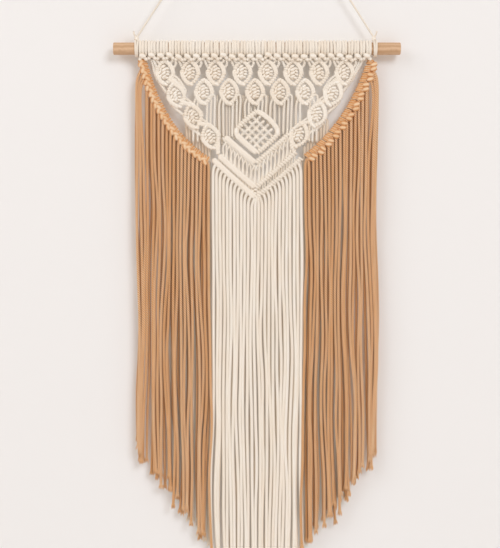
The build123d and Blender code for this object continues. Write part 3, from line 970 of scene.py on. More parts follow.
@dataclass
class LeafRows:
    """All the leaves, and the cords that run between them."""

    link: Cord = Cord(radius=1.75, lay=8.0, step=1.1, crease=0.2)
    ribbed: Hitches = Hitches(radius=2.8, pitch=3.0, cord=1.25)  # the ridges beside the right band
    rise: float = 3.4  # the top row sits this much higher than its solids, close under the knots

    def leaves(self, row: str, count: int, tilt: float, rise: float = 0.0) -> list[Leaf]:
        """The leaves of one row, where the CAD has them.

        Args:
            row: the row's name in the CAD.
            count: how many leaves it has.
            tilt: how far they are turned, in degrees.
            rise: how much higher than their solids they sit.

        Returns:
            The leaves in the CAD's order.
        """
        places = [DATUM.centre(f"leaf_{row}_{n + 1}") for n in range(count)]
        return [Leaf(x, drop - rise, tilt=tilt) for x, drop in places]

    def make(self) -> None:
        """Builds every leaf, then the lead cords above them and the cords beside the bands."""
        rng = np.random.default_rng(5)
        rows = {
            "top": self.leaves("top", 8, 0.0, self.rise),
            "middle": self.leaves("middle", 5, 0.0, 1.0),
            "left": self.leaves("left", 3, 14.0, 0.5),
            "right": self.leaves("right", 3, -20.0, 2.5),
        }
        berries = Bank()
        for row, leaves in rows.items():
            for n, leaf in enumerate(leaves, 1):
                leaf.x += 0.4 * rng.normal()
                leaf.make(f"leaf_{row}_{n}_knotted", f"leaf_{row}_{n}", berries, rng)
        berries.build("berry_knots", Finish.CREAM, "panel", "berries")
        self.leads(rows["top"], rng)
        for name, side in (("left", -1), ("right", 1)):
            self.band_cords(name, side, [rows["top"][0 if side < 0 else -1], *rows[name]], rng)

    def leads(self, leaves: list[Leaf], rng: np.random.Generator) -> None:
        """Cords from the dowel's knots to each top leaf: a pair slanting in from the left, a pair straight
        down in the middle and a pair that bows in from the right.

        Args:
            leaves: the top row.
            rng: where its small differences come from.
        """
        routes = []
        for leaf in leaves:
            x = leaf.x
            for top, end, low in ((-14.2, -9.6, 23.5), (-11.0, -6.0, 18.5)):
                routes.append([[x + top, -3.5, 12.5], [x + top + 0.8, -2.8, 16.0], [x + end, -1.2, low]])
            for shift in (-1.7, 1.9):
                routes.append([[x + shift, -3.5, 12.0], [x + shift * 1.3, -2.5, 14.5],
                               [x + shift * 1.6, -1.0, 18.0]])
            for top, out, end, low in ((9.2, 9.6, 6.0, 19.0), (12.4, 13.8, 9.0, 25.0)):
                routes.append([[x + top, -3.5, 12.5], [x + out, -2.4, 16.5], [x + out - 0.4, -1.6, low - 4],
                               [x + end, -0.8, low]])
        bank = Bank()
        lay_routes(bank, self.link, routes, 0.5, 0.45, rng)
        bank.build("lead_cord_fan", Finish.CREAM, "panel", "lead_cords")

    def band_cords(self, name: str, side: int, leaves: list[Leaf], rng: np.random.Generator) -> None:
        """Cords beside a band of leaves: two from the dowel to its top, a straight pair outside it, and
        inside it a bowed pair and a thick ridge that flows on into the leaf below.

        Args:
            name: the side's name.
            side: -1 for left, 1 for right.
            leaves: the band from its top down.
            rng: where its small differences come from.
        """
        routes, ridges = [], []
        top = leaves[0]
        for shift in (0.0, 3.4):
            routes.append([[side * (129.5 - shift), -2.0, 12.5], [side * (127.0 - shift), -1.0, 18.0],
                           [top.x + side * (12.6 - shift), 0.4, top.drop + 3.0 + shift],
                           [top.x + side * (8.4 - shift), 0.8, top.drop + 11.0 + shift]])
        for a, b in zip(leaves, leaves[1:]):
            half_x, half_drop = 0.5 * (a.x + b.x), 0.5 * (a.drop + b.drop)
            for out, low in ((10.8, 1.0), (8.0, 4.0)):
                start = [a.x + side * (out - 2.0), 0.8, a.drop + 8.0 + low]
                end = [b.x + side * (out + 0.4), 0.6, b.drop - 3.0 + low]
                middle = [(start[0] + end[0]) / 2 + side * 0.6, 0.6, (start[2] + end[2]) / 2]
                routes.append([start, middle, end])
            for out, high in ((12.4, 0.0), (16.0, -3.0)):
                routes.append([[a.x - side * 7.6, -0.6, a.drop + 4.5 + high],
                               [a.x - side * out, -1.6, a.drop + 9 + high],
                               [half_x - side * (out + 1.0), -1.8, half_drop + 2 - high],
                               [b.x - side * (out - 3.0), -1.2, b.drop - 6.5 - high],
                               [b.x - side * 8.4, -0.6, b.drop - 1.5 - high]])
            ridges.append([[a.x - side * 7.0, -0.8, a.drop + 3.5], [a.x - side * 6.0, -1.4, a.drop + 9.5],
                           [b.x - side * 1.0, -1.4, b.drop - 15.0], [b.x - side * 1.5, -0.8, b.drop - 11.0]])
        last = leaves[-1]
        ridges.append([[last.x - side * 7.8, 1.6, last.drop - 3.0],
                       [last.x - side * 9.6, -1.2, last.drop + 9.0],
                       [last.x - side * 8.8, -1.2, last.drop + 17.0],
                       [side * MIDDLE.half_width, -0.5, MIDDLE.end_drop(side)]])
        bank = Bank()
        lay_routes(bank, self.link, routes, 0.5, 0.45, rng)
        lay_routes(bank, SMOOTH if side < 0 else self.ribbed, ridges, 0.6, 0.3, rng)
        bank.build(f"band_cords_{name}", Finish.CREAM, "panel", f"edge_cords_{name}")


# ---------------------------------------------------------------- diamond and chevrons
@dataclass(frozen=True)
class Chevron:
    """The line of one chevron: half its width, the drops of its left end, right end and tip."""

    half_width: float
    left_drop: float
    right_drop: float
    tip_drop: float
    tip_x: float = -1.8

    def end_drop(self, side: float) -> float:
        """The drop of its left or right end."""
        return self.left_drop if side < 0 else self.right_drop

    def drop(self, x: float) -> float:
        """The drop of its centreline at x."""
        share = (x - self.tip_x) / (math.copysign(self.half_width, x - self.tip_x) - self.tip_x)
        return self.tip_drop + (self.end_drop(x - self.tip_x) - self.tip_drop) * share

    def arm(self, side: int) -> np.ndarray:
        """One arm's centreline from its end to the tip, with the middle bowed down by half a millimetre."""
        t = np.linspace(0, 1, 24)
        bow = np.sin(np.pi * t)
        x = side * self.half_width * (1 - t) + self.tip_x * t
        d = self.end_drop(side) * (1 - t) + self.tip_drop * t
        return np.stack([x, -0.7 * bow, d + 0.5 * bow], axis=1)


INNER = Chevron(39.5, 107.0, 103.5, 139.6)
MIDDLE = Chevron(47.0, 129.6, 126.3, 169.6)
OUTER = Chevron(54.5, 134.4, 133.6, 182.0)


@dataclass
class Chevrons:
    """The three chevrons, the net between the upper two and the short cords between the lower two."""

    net: Cord = Cord(radius=1.45, lay=7.0, step=1.0, crease=0.15)
    net_pitch: float = 4.9
    crossing: float = 2.25  # how far to each side of its place a pair's cords start
    short_pitch: float = 3.3  # of the short cords

    def make(self) -> None:
        """Builds six arms, left ones smooth and right ones ribbed, and then the net."""
        rng = np.random.default_rng(23)
        rows = (("inner", INNER, 3.65, 3.7), ("middle", MIDDLE, 3.75, 3.4), ("outer", OUTER, 3.75, 3.4))
        for name, shape, radius, pitch in rows:
            left = Ridge(radius, pitch=7.5, depth=0.12, around=20)
            right = Hitches(radius, pitch, cord=0.4 * pitch, lean=0.3)
            for side, row, word in ((-1, left, "left"), (1, right, "right")):
                bank = Bank()
                row.lay_in(bank, shape.arm(side), 0.8)
                bank.build(f"chevron_{name}_{word}_row", Finish.CREAM, "panel", f"chevron_{name}_{word}")
        self.make_net(rng)

    def make_net(self, rng: np.random.Generator) -> None:
        """Cords that leave the inner chevron in pairs, cross under a small gap and go on down side by side,
        the short cords under them and the lumps at the tips.

        Args:
            rng: where its small differences come from.
        """
        routes = []
        count = int(INNER.half_width / self.net_pitch)
        for n in range(-count, count + 1):
            for lean in (-1, 1):
                x0 = n * self.net_pitch - lean * self.crossing + 0.15 * rng.normal()
                x1 = n * self.net_pitch + lean * self.crossing + 0.15 * rng.normal()
                top, foot = INNER.drop(x0) + 2.5, MIDDLE.drop(x1) - 1.0
                low = max(foot - 8.0, top + 8.5)
                routes.append([[x0, -1.2, top], [x0, -1.2 * lean, top + 3.0], [x1, 1.2 * lean, top + 6.2],
                               [x1, 0.2 * lean, low], [x1 - 1.1 * lean, -0.8 * lean, foot]])
        count = int(MIDDLE.half_width / self.short_pitch)
        for n in range(-count, count + 1):
            x = n * self.short_pitch + 0.2 * rng.normal()
            top, foot = MIDDLE.drop(x), OUTER.drop(x)
            routes.append([[x, 1.2, top], [x, 0.9, 0.5 * (top + foot)], [x, 1.2, foot]])
        bank = Bank()
        lay_routes(bank, self.net, routes, 0.5, 0.45, rng)
        for x, up in ((-3.6, 5.2), (0.4, 7.4), (3.4, 4.4), (-0.6, 3.0)):
            add_lump(bank, (OUTER.tip_x + x, -0.8, OUTER.tip_drop - 2.6 - up), (2.3, 2.0, 1.9), 0.6, 12 * x)
        bank.build("chevron_net", Finish.CREAM, "panel", "chevron_weave")


@dataclass
class Diamond:
    """The middle diamond: four hitched edges round a plain weave, its side corners well rounded."""

    cord: Cord = Cord(radius=1.98, lay=8.0, step=0.9, crease=0.15)
    half: float = 25.4
    flat: float = 3.0  # half the height of its cut-off side corners
    rods: int = 4  # cords each way
    step: float = 6.9  # between neighbouring cords
    radius: float = 3.7
    gap_bow: float = 2.4  # how far the upper right edge bows out
    bow: float = 0.5  # and the others

    def make(self) -> None:
        """Builds the border and the weave; the upper right edge bows outwards and leaves a gap."""
        x, drop = DATUM.centre("diamond_border")
        h, f = self.half, self.flat
        edges = (((h, f), (0.4, h)), ((-0.4, h), (-h, f)), ((-h, -f), (-0.6, -h)), ((0.6, -h), (h, -f)))
        bank = Bank()
        for n, (a, b) in enumerate(np.array(edges)):
            out = (a + b) / np.linalg.norm(a + b)
            t = np.linspace(-0.03, 1.03, 32)
            bow = (self.gap_bow if n == 0 else self.bow) * np.sin(np.pi * np.clip(t, 0, 1))
            end = (2 * np.abs(t - 0.5)) ** 8
            flat = a + (b - a) * t[:, None] + out * (bow - 0.8 * end)[:, None]
            line = np.stack([x + flat[:, 0], -0.8 * np.sin(np.pi * t), drop - flat[:, 1]], axis=1)
            size = self.radius - (0.5 if n == 0 else 0.0)
            smooth = Ridge(size, pitch=7.0, depth=0.13, around=20)
            ribbed = Hitches(size, pitch=3.6, cord=1.45)
            (smooth if n in (0, 2) else ribbed).lay_in(bank, line, 0.8)
        for side in (-1, 1):
            add_lump(bank, (x + side * (h - 0.2), -0.6, drop), (5.2, 3.6, 3.4), 0.8, 90)
        bank.build("diamond_border_rows", Finish.CREAM, "panel", "diamond_border")
        self.weave(x - 0.8, drop + 0.8)

    def weave(self, x: float, drop: float) -> None:
        """Cords crossing both ways, over and under in turn: y is a cosine of the distance along, one half
        wave for each cord crossed, and opposite for neighbours.

        Args:
            x: the weave's middle.
            drop: the drop of its middle.
        """
        rng = np.random.default_rng(3)
        bank = Bank()
        reach = self.half / math.sqrt(2) - 0.2
        t = np.linspace(-reach, reach, 60)
        for n in range(self.rods):
            off = (n - (self.rods - 1) / 2) * self.step
            for lean in (-1, 1):
                wave = -lean * 1.3 * np.cos(np.pi * (t / self.step + n + (self.rods - 1) / 2))
                bow = 0.35 * rng.normal() * np.sin(np.pi * (t / reach + 1) / 2)
                u, v = t / math.sqrt(2), (off + bow) / math.sqrt(2)
                line = np.stack([x + lean * u + v, wave, drop - u + lean * v], axis=1)
                self.cord.lay_in(bank, line, 0.55 + 0.4 * rng.random())
        bank.build("diamond_lattice", Finish.CREAM, "panel", "diamond_weave")


@dataclass
class DropCords:
    """Cords hanging from the middle leaves down to the diamond, the inner chevron and the last band leaf."""

    cord: Cord = Cord(radius=1.65, lay=8.0, step=1.2)
    diamond_drop: float = 101.6  # the diamond's middle, and half its height
    diamond_half: float = 25.0
    diamond_reach: float = 27.0  # cords nearer the middle end behind the diamond
    chevron_reach: float = 42.0  # and those nearer than this behind the inner chevron
    outer_foot: float = 114.0  # where the others end
    rear_cords: int = 20
    rear_pitch: float = 5.0

    def foot(self, x: float) -> float:
        """The drop at which a cord hanging at x goes out of sight."""
        if abs(x) < self.diamond_reach:
            return self.diamond_drop - self.diamond_half + abs(x)
        return INNER.end_drop(x) + 1.0 if abs(x) < self.chevron_reach else self.outer_foot

    def make(self) -> None:
        """Builds the front cords, some leaving their leaf in an arch, and a second layer behind them."""
        rng = np.random.default_rng(31)
        routes: dict[int, list[list[list[float]]]] = {-1: [], 1: []}
        for n in range(5):
            x, drop = DATUM.centre(f"leaf_middle_{n + 1}")
            low = drop + 9.0
            for shift in (-12.6, -7.6):
                at = x + shift
                routes[-1 if at < 0 else 1].append(
                    [[x + shift * 0.7, -0.6, low - 3], [at, -0.6, low + 3], [at, 0.0, low + 14],
                     [at + 0.6 * rng.normal(), 0.4, self.foot(at)]])
            for shift, up in ((3.4, 4.0), (8.2, 0.0), (12.6, -4.5)):
                at = x + shift
                routes[-1 if at < 0 else 1].append(
                    [[x + shift * 0.5 - 2.0, -1.2, low + 3 + up], [x + shift * 0.8, -2.6, low - 3 + up],
                     [at + 1.6, -1.8, low - 1 + up], [at + 0.6, -0.6, low + 9],
                     [at + 0.6 * rng.normal(), 0.4, self.foot(at)]])
        for n in range(self.rear_cords):
            at = (n - (self.rear_cords - 1) / 2) * self.rear_pitch + 0.7 * rng.normal()
            routes[-1 if at < 0 else 1].append([[at, 3.4, 56.0], [at + 0.5 * rng.normal(), 3.6, 75.0],
                                                [at, 3.4, max(self.foot(at), 90.0) + 3]])
        for name, side in (("left", -1), ("right", 1)):
            bank = Bank()
            lay_routes(bank, self.cord, routes[side], 0.45, 0.5, rng)
            bank.build(f"drop_cords_{name}_hung", Finish.CREAM, "panel", f"drop_cords_{name}")


# ---------------------------------------------------------------- swags
@dataclass
class Swag:
    """A rope in a long curve from the dowel to the outer chevron, under the knots that carry the fringe."""

    name: str
    side: int
    bend: tuple[float, float]  # the curve's control point and its end, each as distance out and drop
    end: tuple[float, float]
    knots: int
    wraps: int  # for each knot
    lumps: tuple[tuple[float, float, float], ...]  # for each knot: how far out, how far on and how steep
    lump: tuple[float, float, float]  # half its length, depth and height
    slant: float  # how far the wraps lean along the rope
    size: float  # from the rope's middle to the middle of a wrap's cord
    cord: float  # the radius of a wrap's cord
    start: tuple[float, float] = (139.0, 14.5)
    forward: float = 2.4  # how far in front of the rope's middle the lumps sit
    rope: Cord = Cord(radius=1.9, lay=7.0)

    def line(self, at: np.ndarray) -> np.ndarray:
        """Points of its centreline, at shares of its curve from the dowel down."""
        points = tuple((self.side * x, d) for x, d in (self.start, self.bend, self.end))
        return bezier(points, at)

    def root(self, x: float) -> np.ndarray:
        """The point of its centreline at distance x from the hanging's middle, or its top beyond that."""
        fine = self.line(np.linspace(0, 1, 300))
        out = np.abs(fine[:, 0])
        return fine[int(np.argmin(np.abs(out - x)))]

    def make(self) -> None:
        """Builds the wraps, leaning by the slant, with lumps over each knot, as one piece, and the rope
        inside as another."""
        rng = np.random.default_rng(41 + self.side)
        even = resample(self.line(np.linspace(0, 1, 200)), 1.0)
        along = arc_lengths(even)
        ways = np.gradient(even, axis=0)
        ways /= np.linalg.norm(ways, axis=1, keepdims=True)
        bank = Bank()
        total = self.knots * self.wraps
        for k in range(total):
            n = int((k + 0.5) / total * (len(even) - 1))
            axis = ways[n] + self.slant * np.cross(ways[n], FRONT) + 0.07 * rng.normal(size=3)
            tone = 0.35 + 0.6 * rng.random()
            add_loop(bank, even[n], axis, self.size + 0.15 * rng.normal(), self.cord, tone, 16, 8)
        for k in range(self.knots):
            n = int((k + 0.5) / self.knots * (len(even) - 1))
            way = ways[n]
            outward = np.array([self.side * abs(way[2]), 0.0, abs(way[0])])
            lean = math.degrees(math.atan2(way[2], way[0]))
            for reach, ahead, steep in self.lumps:
                away = outward * (reach + 0.3 * rng.normal())
                place = even[n] + away + way * ahead + FRONT * self.forward
                tone = 0.4 + 0.55 * rng.random()
                add_lump(bank, tuple(place), self.lump, tone, lean + steep + 8 * rng.normal(), 11, 8)
        bank.build(f"swag_knots_{self.name}_tied", Finish.TAN, "panel", f"swag_knots_{self.name}")
        rope = Bank()
        self.rope.lay_in(rope, even, 0.4)
        rope.build(f"swag_rope_{self.name}", Finish.TAN, "panel", f"swag_cord_{self.name}")


# ---------------------------------------------------------------- fringe
TIP_DROP = 668.0
TIP_SLOPE = 1.342  # how much higher a cord is cut for each mm away from the middle
TIP_ROUND = 12.0


def tip_drop(x: float) -> float:
    """How far below the dowel a fringe cord at x is cut: a V with a slightly rounded tip."""
    return TIP_DROP + TIP_SLOPE * (TIP_ROUND - math.hypot(x, TIP_ROUND))


@dataclass
class Fringe:
    """One stretch of fringe: cords that leave a knotted edge and hang straight, each wandering a little."""

    finish: Finish
    child: str
    hinge_drop: float
    sway: float = 2.6  # how far neighbours move together
    own: float = 1.1  # how far each cord wanders by itself
    run: float = 56.0  # the longest distance between a route's points
    grow: float = 100.0  # over this length below its head a cord comes to its full sway
    bend: float = 16.0  # half the span about the hinge, whose two end points are worked out but not used
    gather: float = 0.6  # how far cut ends draw together into bunches
    bunch: float = 13.0  # the width of a bunch
    threads: int = 8  # loose at each cut end
    tones: tuple[float, float] = (0.35, 0.95)
    cord: Cord = Cord(radius=1.95, lay=8.4, crease=0.5, flare=0.25)

    def route(self, x: float, y: float, head: list[list[float]], end: float,
              rng: np.random.Generator) -> np.ndarray:
        """The route of one cord, with points at most a run apart below its head.

        The sway is A (0.7 sin(d/70 + x/16) + 0.4 sin(d/31 - x/9)), growing over its first part, so that
        neighbours move nearly alike, plus a little of each cord's own. Towards its end a cord is drawn to the
        middle of its bunch.

        Args:
            x: where it hangs.
            y: how far behind the hanging's plane.
            head: the points where it leaves its edge.
            end: the drop of its cut end.
            rng: where its own wander comes from.

        Returns:
            The route's points in mm.
        """
        top = head[-1][2]
        count = max(2, math.ceil((end - top) / self.run))
        share = np.arange(1, count + 1) / count
        d = top + (end - top) * share
        grow = np.clip((d - top) / self.grow, 0, 1)
        wave = self.sway * (0.7 * np.sin(d / 70.0 + x / 16.0) + 0.4 * np.sin(d / 31.0 - x / 9.0))
        place = x / self.bunch + 0.45 * math.sin(x / 8.3)
        drawn = self.gather * self.bunch * (math.floor(place) + 0.5 - place) * share**1.6
        xs = x + grow * (wave + self.own * rng.normal(size=count)) + drawn
        ys = y + grow * 0.5 * rng.normal(size=count)
        xs[-1] += 0.8 * rng.normal()
        return np.concatenate([np.array(head), np.stack([xs, ys, d], axis=1)])

    def lay_one(self, bank: Bank, line: np.ndarray, rng: np.random.Generator) -> None:
        """Adds one cord and the loose threads at its cut end.

        Args:
            bank: where it goes.
            line: its centreline.
            rng: where its tone and the threads' spread come from.
        """
        tone = self.tones[0] + (self.tones[1] - self.tones[0]) * rng.random()
        self.cord.lay_in(bank, line, tone)
        t = np.linspace(0, 1, 6)[:, None]
        radii = np.repeat(np.array([0.45, 0.75, 0.75, 0.65, 0.45, 0.12])[:, None], 5, axis=1)
        for angle in TAU * (np.arange(self.threads) + rng.random(self.threads)) / self.threads:
            out = np.array([math.cos(angle), math.sin(angle), 0.0])
            top = line[-1] + out - np.array([0.0, 0.0, 5.0])
            tip = line[-1] + out * (1.6 + 1.4 * rng.random())
            tip = tip + np.array([0.0, 0.0, 0.5 + 2.5 * rng.random()])
            path = top * (1 - t) + tip * t + out * 0.4 * np.sin(np.pi * t)
            bank.add(tube_grid(path, radii, np.zeros(6), FRONT), tone, 7 * t[:, 0])

    def hinge(self, obj: bpy.types.Object) -> None:
        """Bakes a finished piece's transform into its mesh. The points above and below the hinge are worked out
        but not used.
        """
        above, below = (DATUM.place(np.array([0, 0, self.hinge_drop + k])) for k in (-self.bend, self.bend))
        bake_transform(obj)

    def hang(self, name: str, nodes: tuple[str, ...], routes: list[np.ndarray], declared: int,
             rng: np.random.Generator) -> None:
        """Builds the cords: the first few as declared free cords of their own, and the rest together.

        Args:
            name: the pieces' name.
            nodes: the CAD nodes that they stand for.
            routes: one for each cord, those to build alone first.
            declared: how many to build alone.
            rng: where the tones come from.
        """
        lines = read_splines(routes)
        for n, line in enumerate(lines[:declared], 1):
            bank = Bank()
            self.lay_one(bank, line, rng)
            piece = bank.build(f"{name}_cord_{n:02d}", self.finish, "", *nodes)
            self.hinge(piece)
            path = DATUM.place(line)
        if lines[declared:]:
            bank = Bank()
            for line in lines[declared:]:
                self.lay_one(bank, line, rng)
            self.hinge(bank.build(f"{name}_cords", self.finish, "", *nodes))


@dataclass
class SideFringe:
    """The tan fringe under one swag, in two layers, with plain cords behind it."""

    swag: Swag
    hinge_drop: float = 158.0
    cords: int = 20  # in each tan layer
    inner: float = 59.8  # how far from the middle the first cord hangs
    step: float = 4.65
    layer: float = 2.1  # how far each tan layer is from the hanging's plane
    back_y: float = 7.0  # the plain cords' place
    back_cords: int = 13
    back_inner: float = 58.4
    back_step: float = 3.95
    edge_x: float = 148.5  # how far out the outermost cords fall
    band_reach: float = 88.0  # beyond this the plain cords start behind the swag, not the band
    declared: int = 6
    rear: Cord = Cord(radius=1.95, lay=8.4, crease=0.5, flare=0.25, step=1.5)
    plain: Cord = Cord(crease=0.2, flare=0.25, step=1.6)
    reach: float = 136.0  # cords beyond this leave the swag's top knots
    squeeze: float = 0.75  # and lie this much closer together

    def make(self) -> None:
        """Builds the front layer, the back layer and the plain cords."""
        side, name = self.swag.side, self.swag.name
        child = f"fringe_{name}"
        front = Fringe(Finish.TAN, child, self.hinge_drop)
        # the back tan layer gets lower tones than the front, as painted shade on the cords behind
        back = Fringe(Finish.TAN, child, self.hinge_drop, gather=0.2, threads=5, tones=(0.1, 0.7),
                      cord=self.rear)
        layers = (("front", front, -self.layer, -0.5, self.declared), ("back", back, self.layer, 1.5, 0))
        for word, fringe, y, shift, declared in layers:
            rng = np.random.default_rng(60 + 7 * side + declared)
            routes = []
            for n in range(self.cords):
                out = self.inner + n * self.step + shift + 0.4 * rng.normal()
                x = side * (min(out, self.reach) + self.squeeze * max(0.0, out - self.reach))
                end = tip_drop(x) + 7 * rng.normal()
                routes.append(fringe.route(x, y, self.head(abs(x), y, rng), end, rng))
            nodes = (f"tan_fringe_{name}_{word}",) + ((f"tan_tops_{name}",) if word == "front" else ())
            fringe.hang(f"tan_fringe_{name}_{word}_hung", nodes, routes, declared, rng)
        self.behind(side, name, child)

    def head(self, x: float, y: float, rng: np.random.Generator) -> list[list[float]]:
        """Where a cord leaves the swag: straight under its own knot, or out from the top knots.

        Args:
            x: how far from the middle the cord hangs.
            y: how far behind the hanging's plane.
            rng: where its small differences come from.

        Returns:
            The route's first points.
        """
        side = self.swag.side
        if x < self.reach:
            root = self.swag.root(x - 3.0)
            start = [root[0] + side * 1.5, y - 0.4, root[2] + 1.5]
            return [start, [side * (x - 0.3), y - 0.6, root[2] + 6.0],
                    [side * x, y, root[2] + 22 + 4 * rng.random()]]
        over = (x - self.reach) / 12.0
        root = self.swag.line(np.array([0.10 - 0.09 * over]))[0]
        near = side * (0.6 * x + 0.4 * self.edge_x)
        half = [0.5 * (root[0] + near), y - 0.4, root[2] + 9.0]
        return [list(root), half, [near, y, root[2] + 20], [near, y, root[2] + 44 + 4 * rng.random()]]

    def behind(self, side: int, name: str, child: str) -> None:
        """Builds the plain cords that hang behind the dyed fringe, toned dark as painted shade.

        Args:
            side: -1 for left, 1 for right.
            name: the side's name.
            child: the name of a body, handed to the fringe.
        """
        rng = np.random.default_rng(80 + side)
        # low tones paint shade on these cords behind, giving them mostly the Deep colour
        plain = Fringe(Finish.CREAM, child, self.hinge_drop, gather=0.15, tones=(-0.1, 0.3), cord=self.plain)
        routes = []
        for n in range(self.back_cords):
            x = side * (self.back_inner + n * self.back_step)
            top = 118.0 - 1.2 * n * self.back_step
            if abs(x) > self.band_reach:
                top = self.swag.root(abs(x))[2] + 1.0
            head = [[x, 5.0, top], [x, 6.0, top + 12], [x, self.back_y, top + 40]]
            routes.append(plain.route(x, self.back_y, head, tip_drop(x) + 4 * rng.normal(), rng))
        nodes = (f"cream_fringe_{name}", f"cream_tops_{name}")
        plain.hang(f"cream_fringe_{name}_hung", nodes, routes, 0, rng)


@dataclass
class MiddleFringe:
    """The plain fringe under the outer chevron: a front layer, whose cords bow out of the ridge, and one
    behind."""

    hinge_drop: float = 196.0
    cords: int = 26
    step: float = 4.3
    behind: int = 25
    behind_y: float = 2.8
    cord: Cord = Cord(radius=2.12, lay=8.4, crease=0.2, flare=0.2)
    rear: Cord = Cord(crease=0.2, flare=0.25, step=1.6)

    def layer(self, **changes: object) -> Fringe:
        """A layer of the middle fringe, which sways less than the sides do.

        Args:
            changes: the other fields of the fringe that differ from the usual ones.

        Returns:
            The layer, with no cords yet.
        """
        return Fringe(Finish.CREAM, "fringe_middle", self.hinge_drop, sway=1.7, own=0.8, gather=0.25,
                      bunch=17.0, **changes)

    def make(self) -> None:
        """Builds both layers, the back one toned dark as painted shade."""
        rng = np.random.default_rng(71)
        nodes = ("cream_fringe_middle", "cream_tops_middle")
        # the front layer gets light tones; the back layer below gets dark ones as painted shade
        front = self.layer(tones=(0.55, 1.0), cord=self.cord)
        routes = []
        for n in range(self.cords):
            x = (n - (self.cords - 1) / 2) * self.step
            root = x - math.copysign(4.4, x) if abs(x) > 5 else 0.35 * x
            edge = OUTER.drop(root)
            head = [[root, 0.0, edge], [0.45 * root + 0.55 * x, -0.6, edge + 4.2], [x, -0.5, edge + 9.5],
                    [x, -0.3, edge + 18]]
            routes.append(front.route(x, 0.0, head, tip_drop(x) + 3 * rng.normal(), rng))
        front.hang("cream_fringe_middle_front", nodes, routes, self.cords, rng)
        # low tones paint shade on the cords behind
        back = self.layer(threads=5, tones=(0.0, 0.35), cord=self.rear)
        routes = []
        for n in range(self.behind):
            x = (n - (self.behind - 1) / 2) * self.step + 2.1
            y, edge = self.behind_y, OUTER.drop(x)
            head = [[x, 2.6, edge - 1], [x, y, edge + 12], [x, y, edge + 30]]
            routes.append(back.route(x, y, head, tip_drop(x) + 3 * rng.normal(), rng))
        back.hang("cream_fringe_middle_back", nodes, routes, 0, rng)


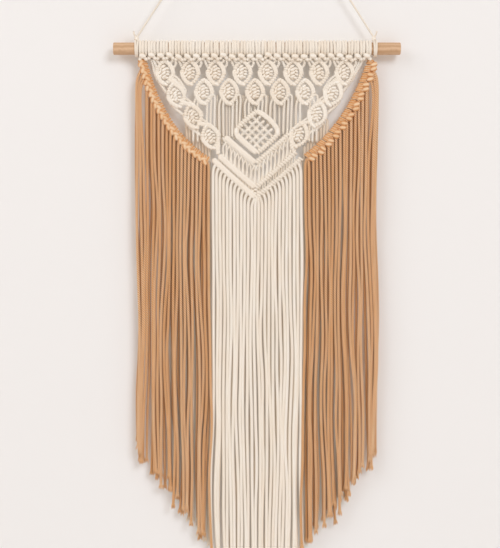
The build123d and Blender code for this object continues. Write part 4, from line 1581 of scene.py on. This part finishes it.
# ---------------------------------------------------------------- studio
@dataclass(frozen=True)
class Studio:
    """A plain pale wall and floor, soft light from the upper right, and the camera straight in front."""

    view_height: float = 0.6686  # metres of the hanging's plane that fill the view
    centre_x: float = -0.0085
    centre_drop: float = 274.9  # in mm
    lens: float = 85.0
    sensor: float = 36.0
    wall_y: float = 0.001
    floor_z: float = -1.7
    half_room: float = 4.0
    wall_top: float = 1.6
    floor_reach: float = 5.0

    def camera(self) -> None:
        """Places the camera so that the hanging's plane fills the view's height as wanted."""
        data = bpy.data.cameras.new("camera")
        data.lens = self.lens
        data.sensor_width = self.sensor
        obj = bpy.data.objects.new("camera", data)
        distance = self.lens / self.sensor * self.view_height
        middle = DATUM.place(np.array([0, 0, self.centre_drop]))
        obj.location = (self.centre_x, DATUM.plane_y - distance, middle[2])
        obj.rotation_euler = (math.pi / 2, 0, 0)
        bpy.context.scene.collection.objects.link(obj)
        bpy.context.scene.camera = obj

    def area(self, name: str, place: tuple[float, float, float], aim: tuple[float, float, float], size: float,
             power: float, colour: tuple[float, float, float]) -> bpy.types.Object:
        """Adds a square area light.

        Args:
            name: its name.
            place: where it stands.
            aim: the point it faces.
            size: its side, in metres.
            power: its power, in watts.
            colour: its colour.

        Returns:
            The light.
        """
        data = bpy.data.lights.new(name, "AREA")
        data.size, data.energy, data.color = size, power, colour
        obj = bpy.data.objects.new(name, data)
        obj.location = place
        to = np.array(aim) - np.array(place)
        turn = math.atan2(to[1], to[0]) - math.pi / 2
        obj.rotation_euler = (math.acos(-to[2] / np.linalg.norm(to)), 0, turn)
        bpy.context.scene.collection.objects.link(obj)
        return obj

    def wall_and_floor(self) -> bpy.types.Object:
        """Adds the wall, just behind the hanging, and a floor well below it. The wall is clear from behind.

        Returns:
            The wall.
        """
        x, y, z = self.half_room, self.wall_y, self.floor_z
        corner_left, corner_right = (-x, y, z), (x, y, z)
        top_right, top_left = (x, y, self.wall_top), (-x, y, self.wall_top)
        near_left, near_right = (-x, -self.floor_reach, z), (x, -self.floor_reach, z)
        wall = self.slab("studio_wall", [corner_left, corner_right, top_right, top_left])
        floor = self.slab("studio_floor", [near_left, near_right, corner_right, corner_left])
        paint, w, shader = new_material("wall paint")
        shader.inputs["Base Color"].default_value = (0.86, 0.845, 0.835, 1)
        shader.inputs["Roughness"].default_value = 0.9
        shader.inputs["Specular IOR Level"].default_value = 0.1
        clear = w.node("ShaderNodeBsdfTransparent").outputs[0]
        behind = w.node("ShaderNodeNewGeometry").outputs["Backfacing"]
        both = w.node("ShaderNodeMixShader", i0=behind, i1=shader.outputs[0], i2=clear).outputs[0]
        w.tree.links.new(both, w.tree.nodes["Material Output"].inputs[0])
        for obj in (wall, floor):
            obj.data.materials.append(paint)
        return wall

    def slab(self, name: str, corners: list[tuple[float, float, float]]) -> bpy.types.Object:
        """One flat face."""
        mesh = bpy.data.meshes.new(name)
        mesh.from_pydata(corners, [], [(0, 1, 2, 3)])
        obj = bpy.data.objects.new(name, mesh)
        bpy.context.scene.collection.objects.link(obj)
        return obj

    def make(self) -> None:
        """Sets up the camera, the room and its lights. The back light shines through the wall."""
        self.camera()
        wall = self.wall_and_floor()
        aim = (0.0, 0.0, DATUM.dowel_z - 0.2)
        self.area("key", (2.1, -4.2, 1.7), aim, 2.0, 91.0, (0.925, 0.985, 1.065))
        self.area("fill", (-2.4, -2.0, 1.2), aim, 2.4, 34.0, (0.95, 0.99, 1.035))
        back = self.area("back", (0.8, 2.4, 0.6), aim, 2.0, 26.0, (1.0, 1.0, 1.0))
        blockers = bpy.data.collections.new("wall passes back light")
        blockers.objects.link(wall)
        back.light_linking.blocker_collection = blockers
        blockers.collection_objects[0].light_linking.link_state = "EXCLUDE"
        world = bpy.data.worlds.new("room")
        world.use_nodes = True
        world.node_tree.nodes["Background"].inputs[0].default_value = (1.0, 0.89, 0.785, 1)
        world.node_tree.nodes["Background"].inputs[1].default_value = 0.56
        scene = bpy.context.scene
        scene.world = world
        scene.view_settings.view_transform = "Standard"


SWAGS = (
    Swag("left", -1, bend=(117.0, 102.0), end=(59.0, 137.0), knots=20, wraps=2,
         lumps=((4.0, 1.2, 35), (1.6, -2.6, -30)), lump=(4.1, 3.6, 3.5), slant=0.15, size=3.0, cord=2.05),
    Swag("right", 1, bend=(114.0, 92.0), end=(60.0, 132.5), knots=11, wraps=4,
         lumps=((5.0, -2.2, 55), (6.2, 3.0, 55)), lump=(4.3, 3.6, 3.4), slant=0.25, size=3.2, cord=1.75),
)


def main() -> None:
    """Builds the studio, then the hanging from the hook down."""
    Studio().make()
    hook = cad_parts["wall_hook"]
    hook.data.materials.clear()
    hook.data.materials.append(Finish.BRASS.material())
    Dowel().make()
    hanger = Hanger()
    hanger.legs(hanger.eye_knot())
    hanger.tie_rings()
    MountingRow().make()
    LeafRows().make()
    DropCords().make()
    Diamond().make()
    Chevrons().make()
    for swag in SWAGS:
        swag.make()
        SideFringe(swag).make()
    MiddleFringe().make()


if __name__ == "__main__":
    main()
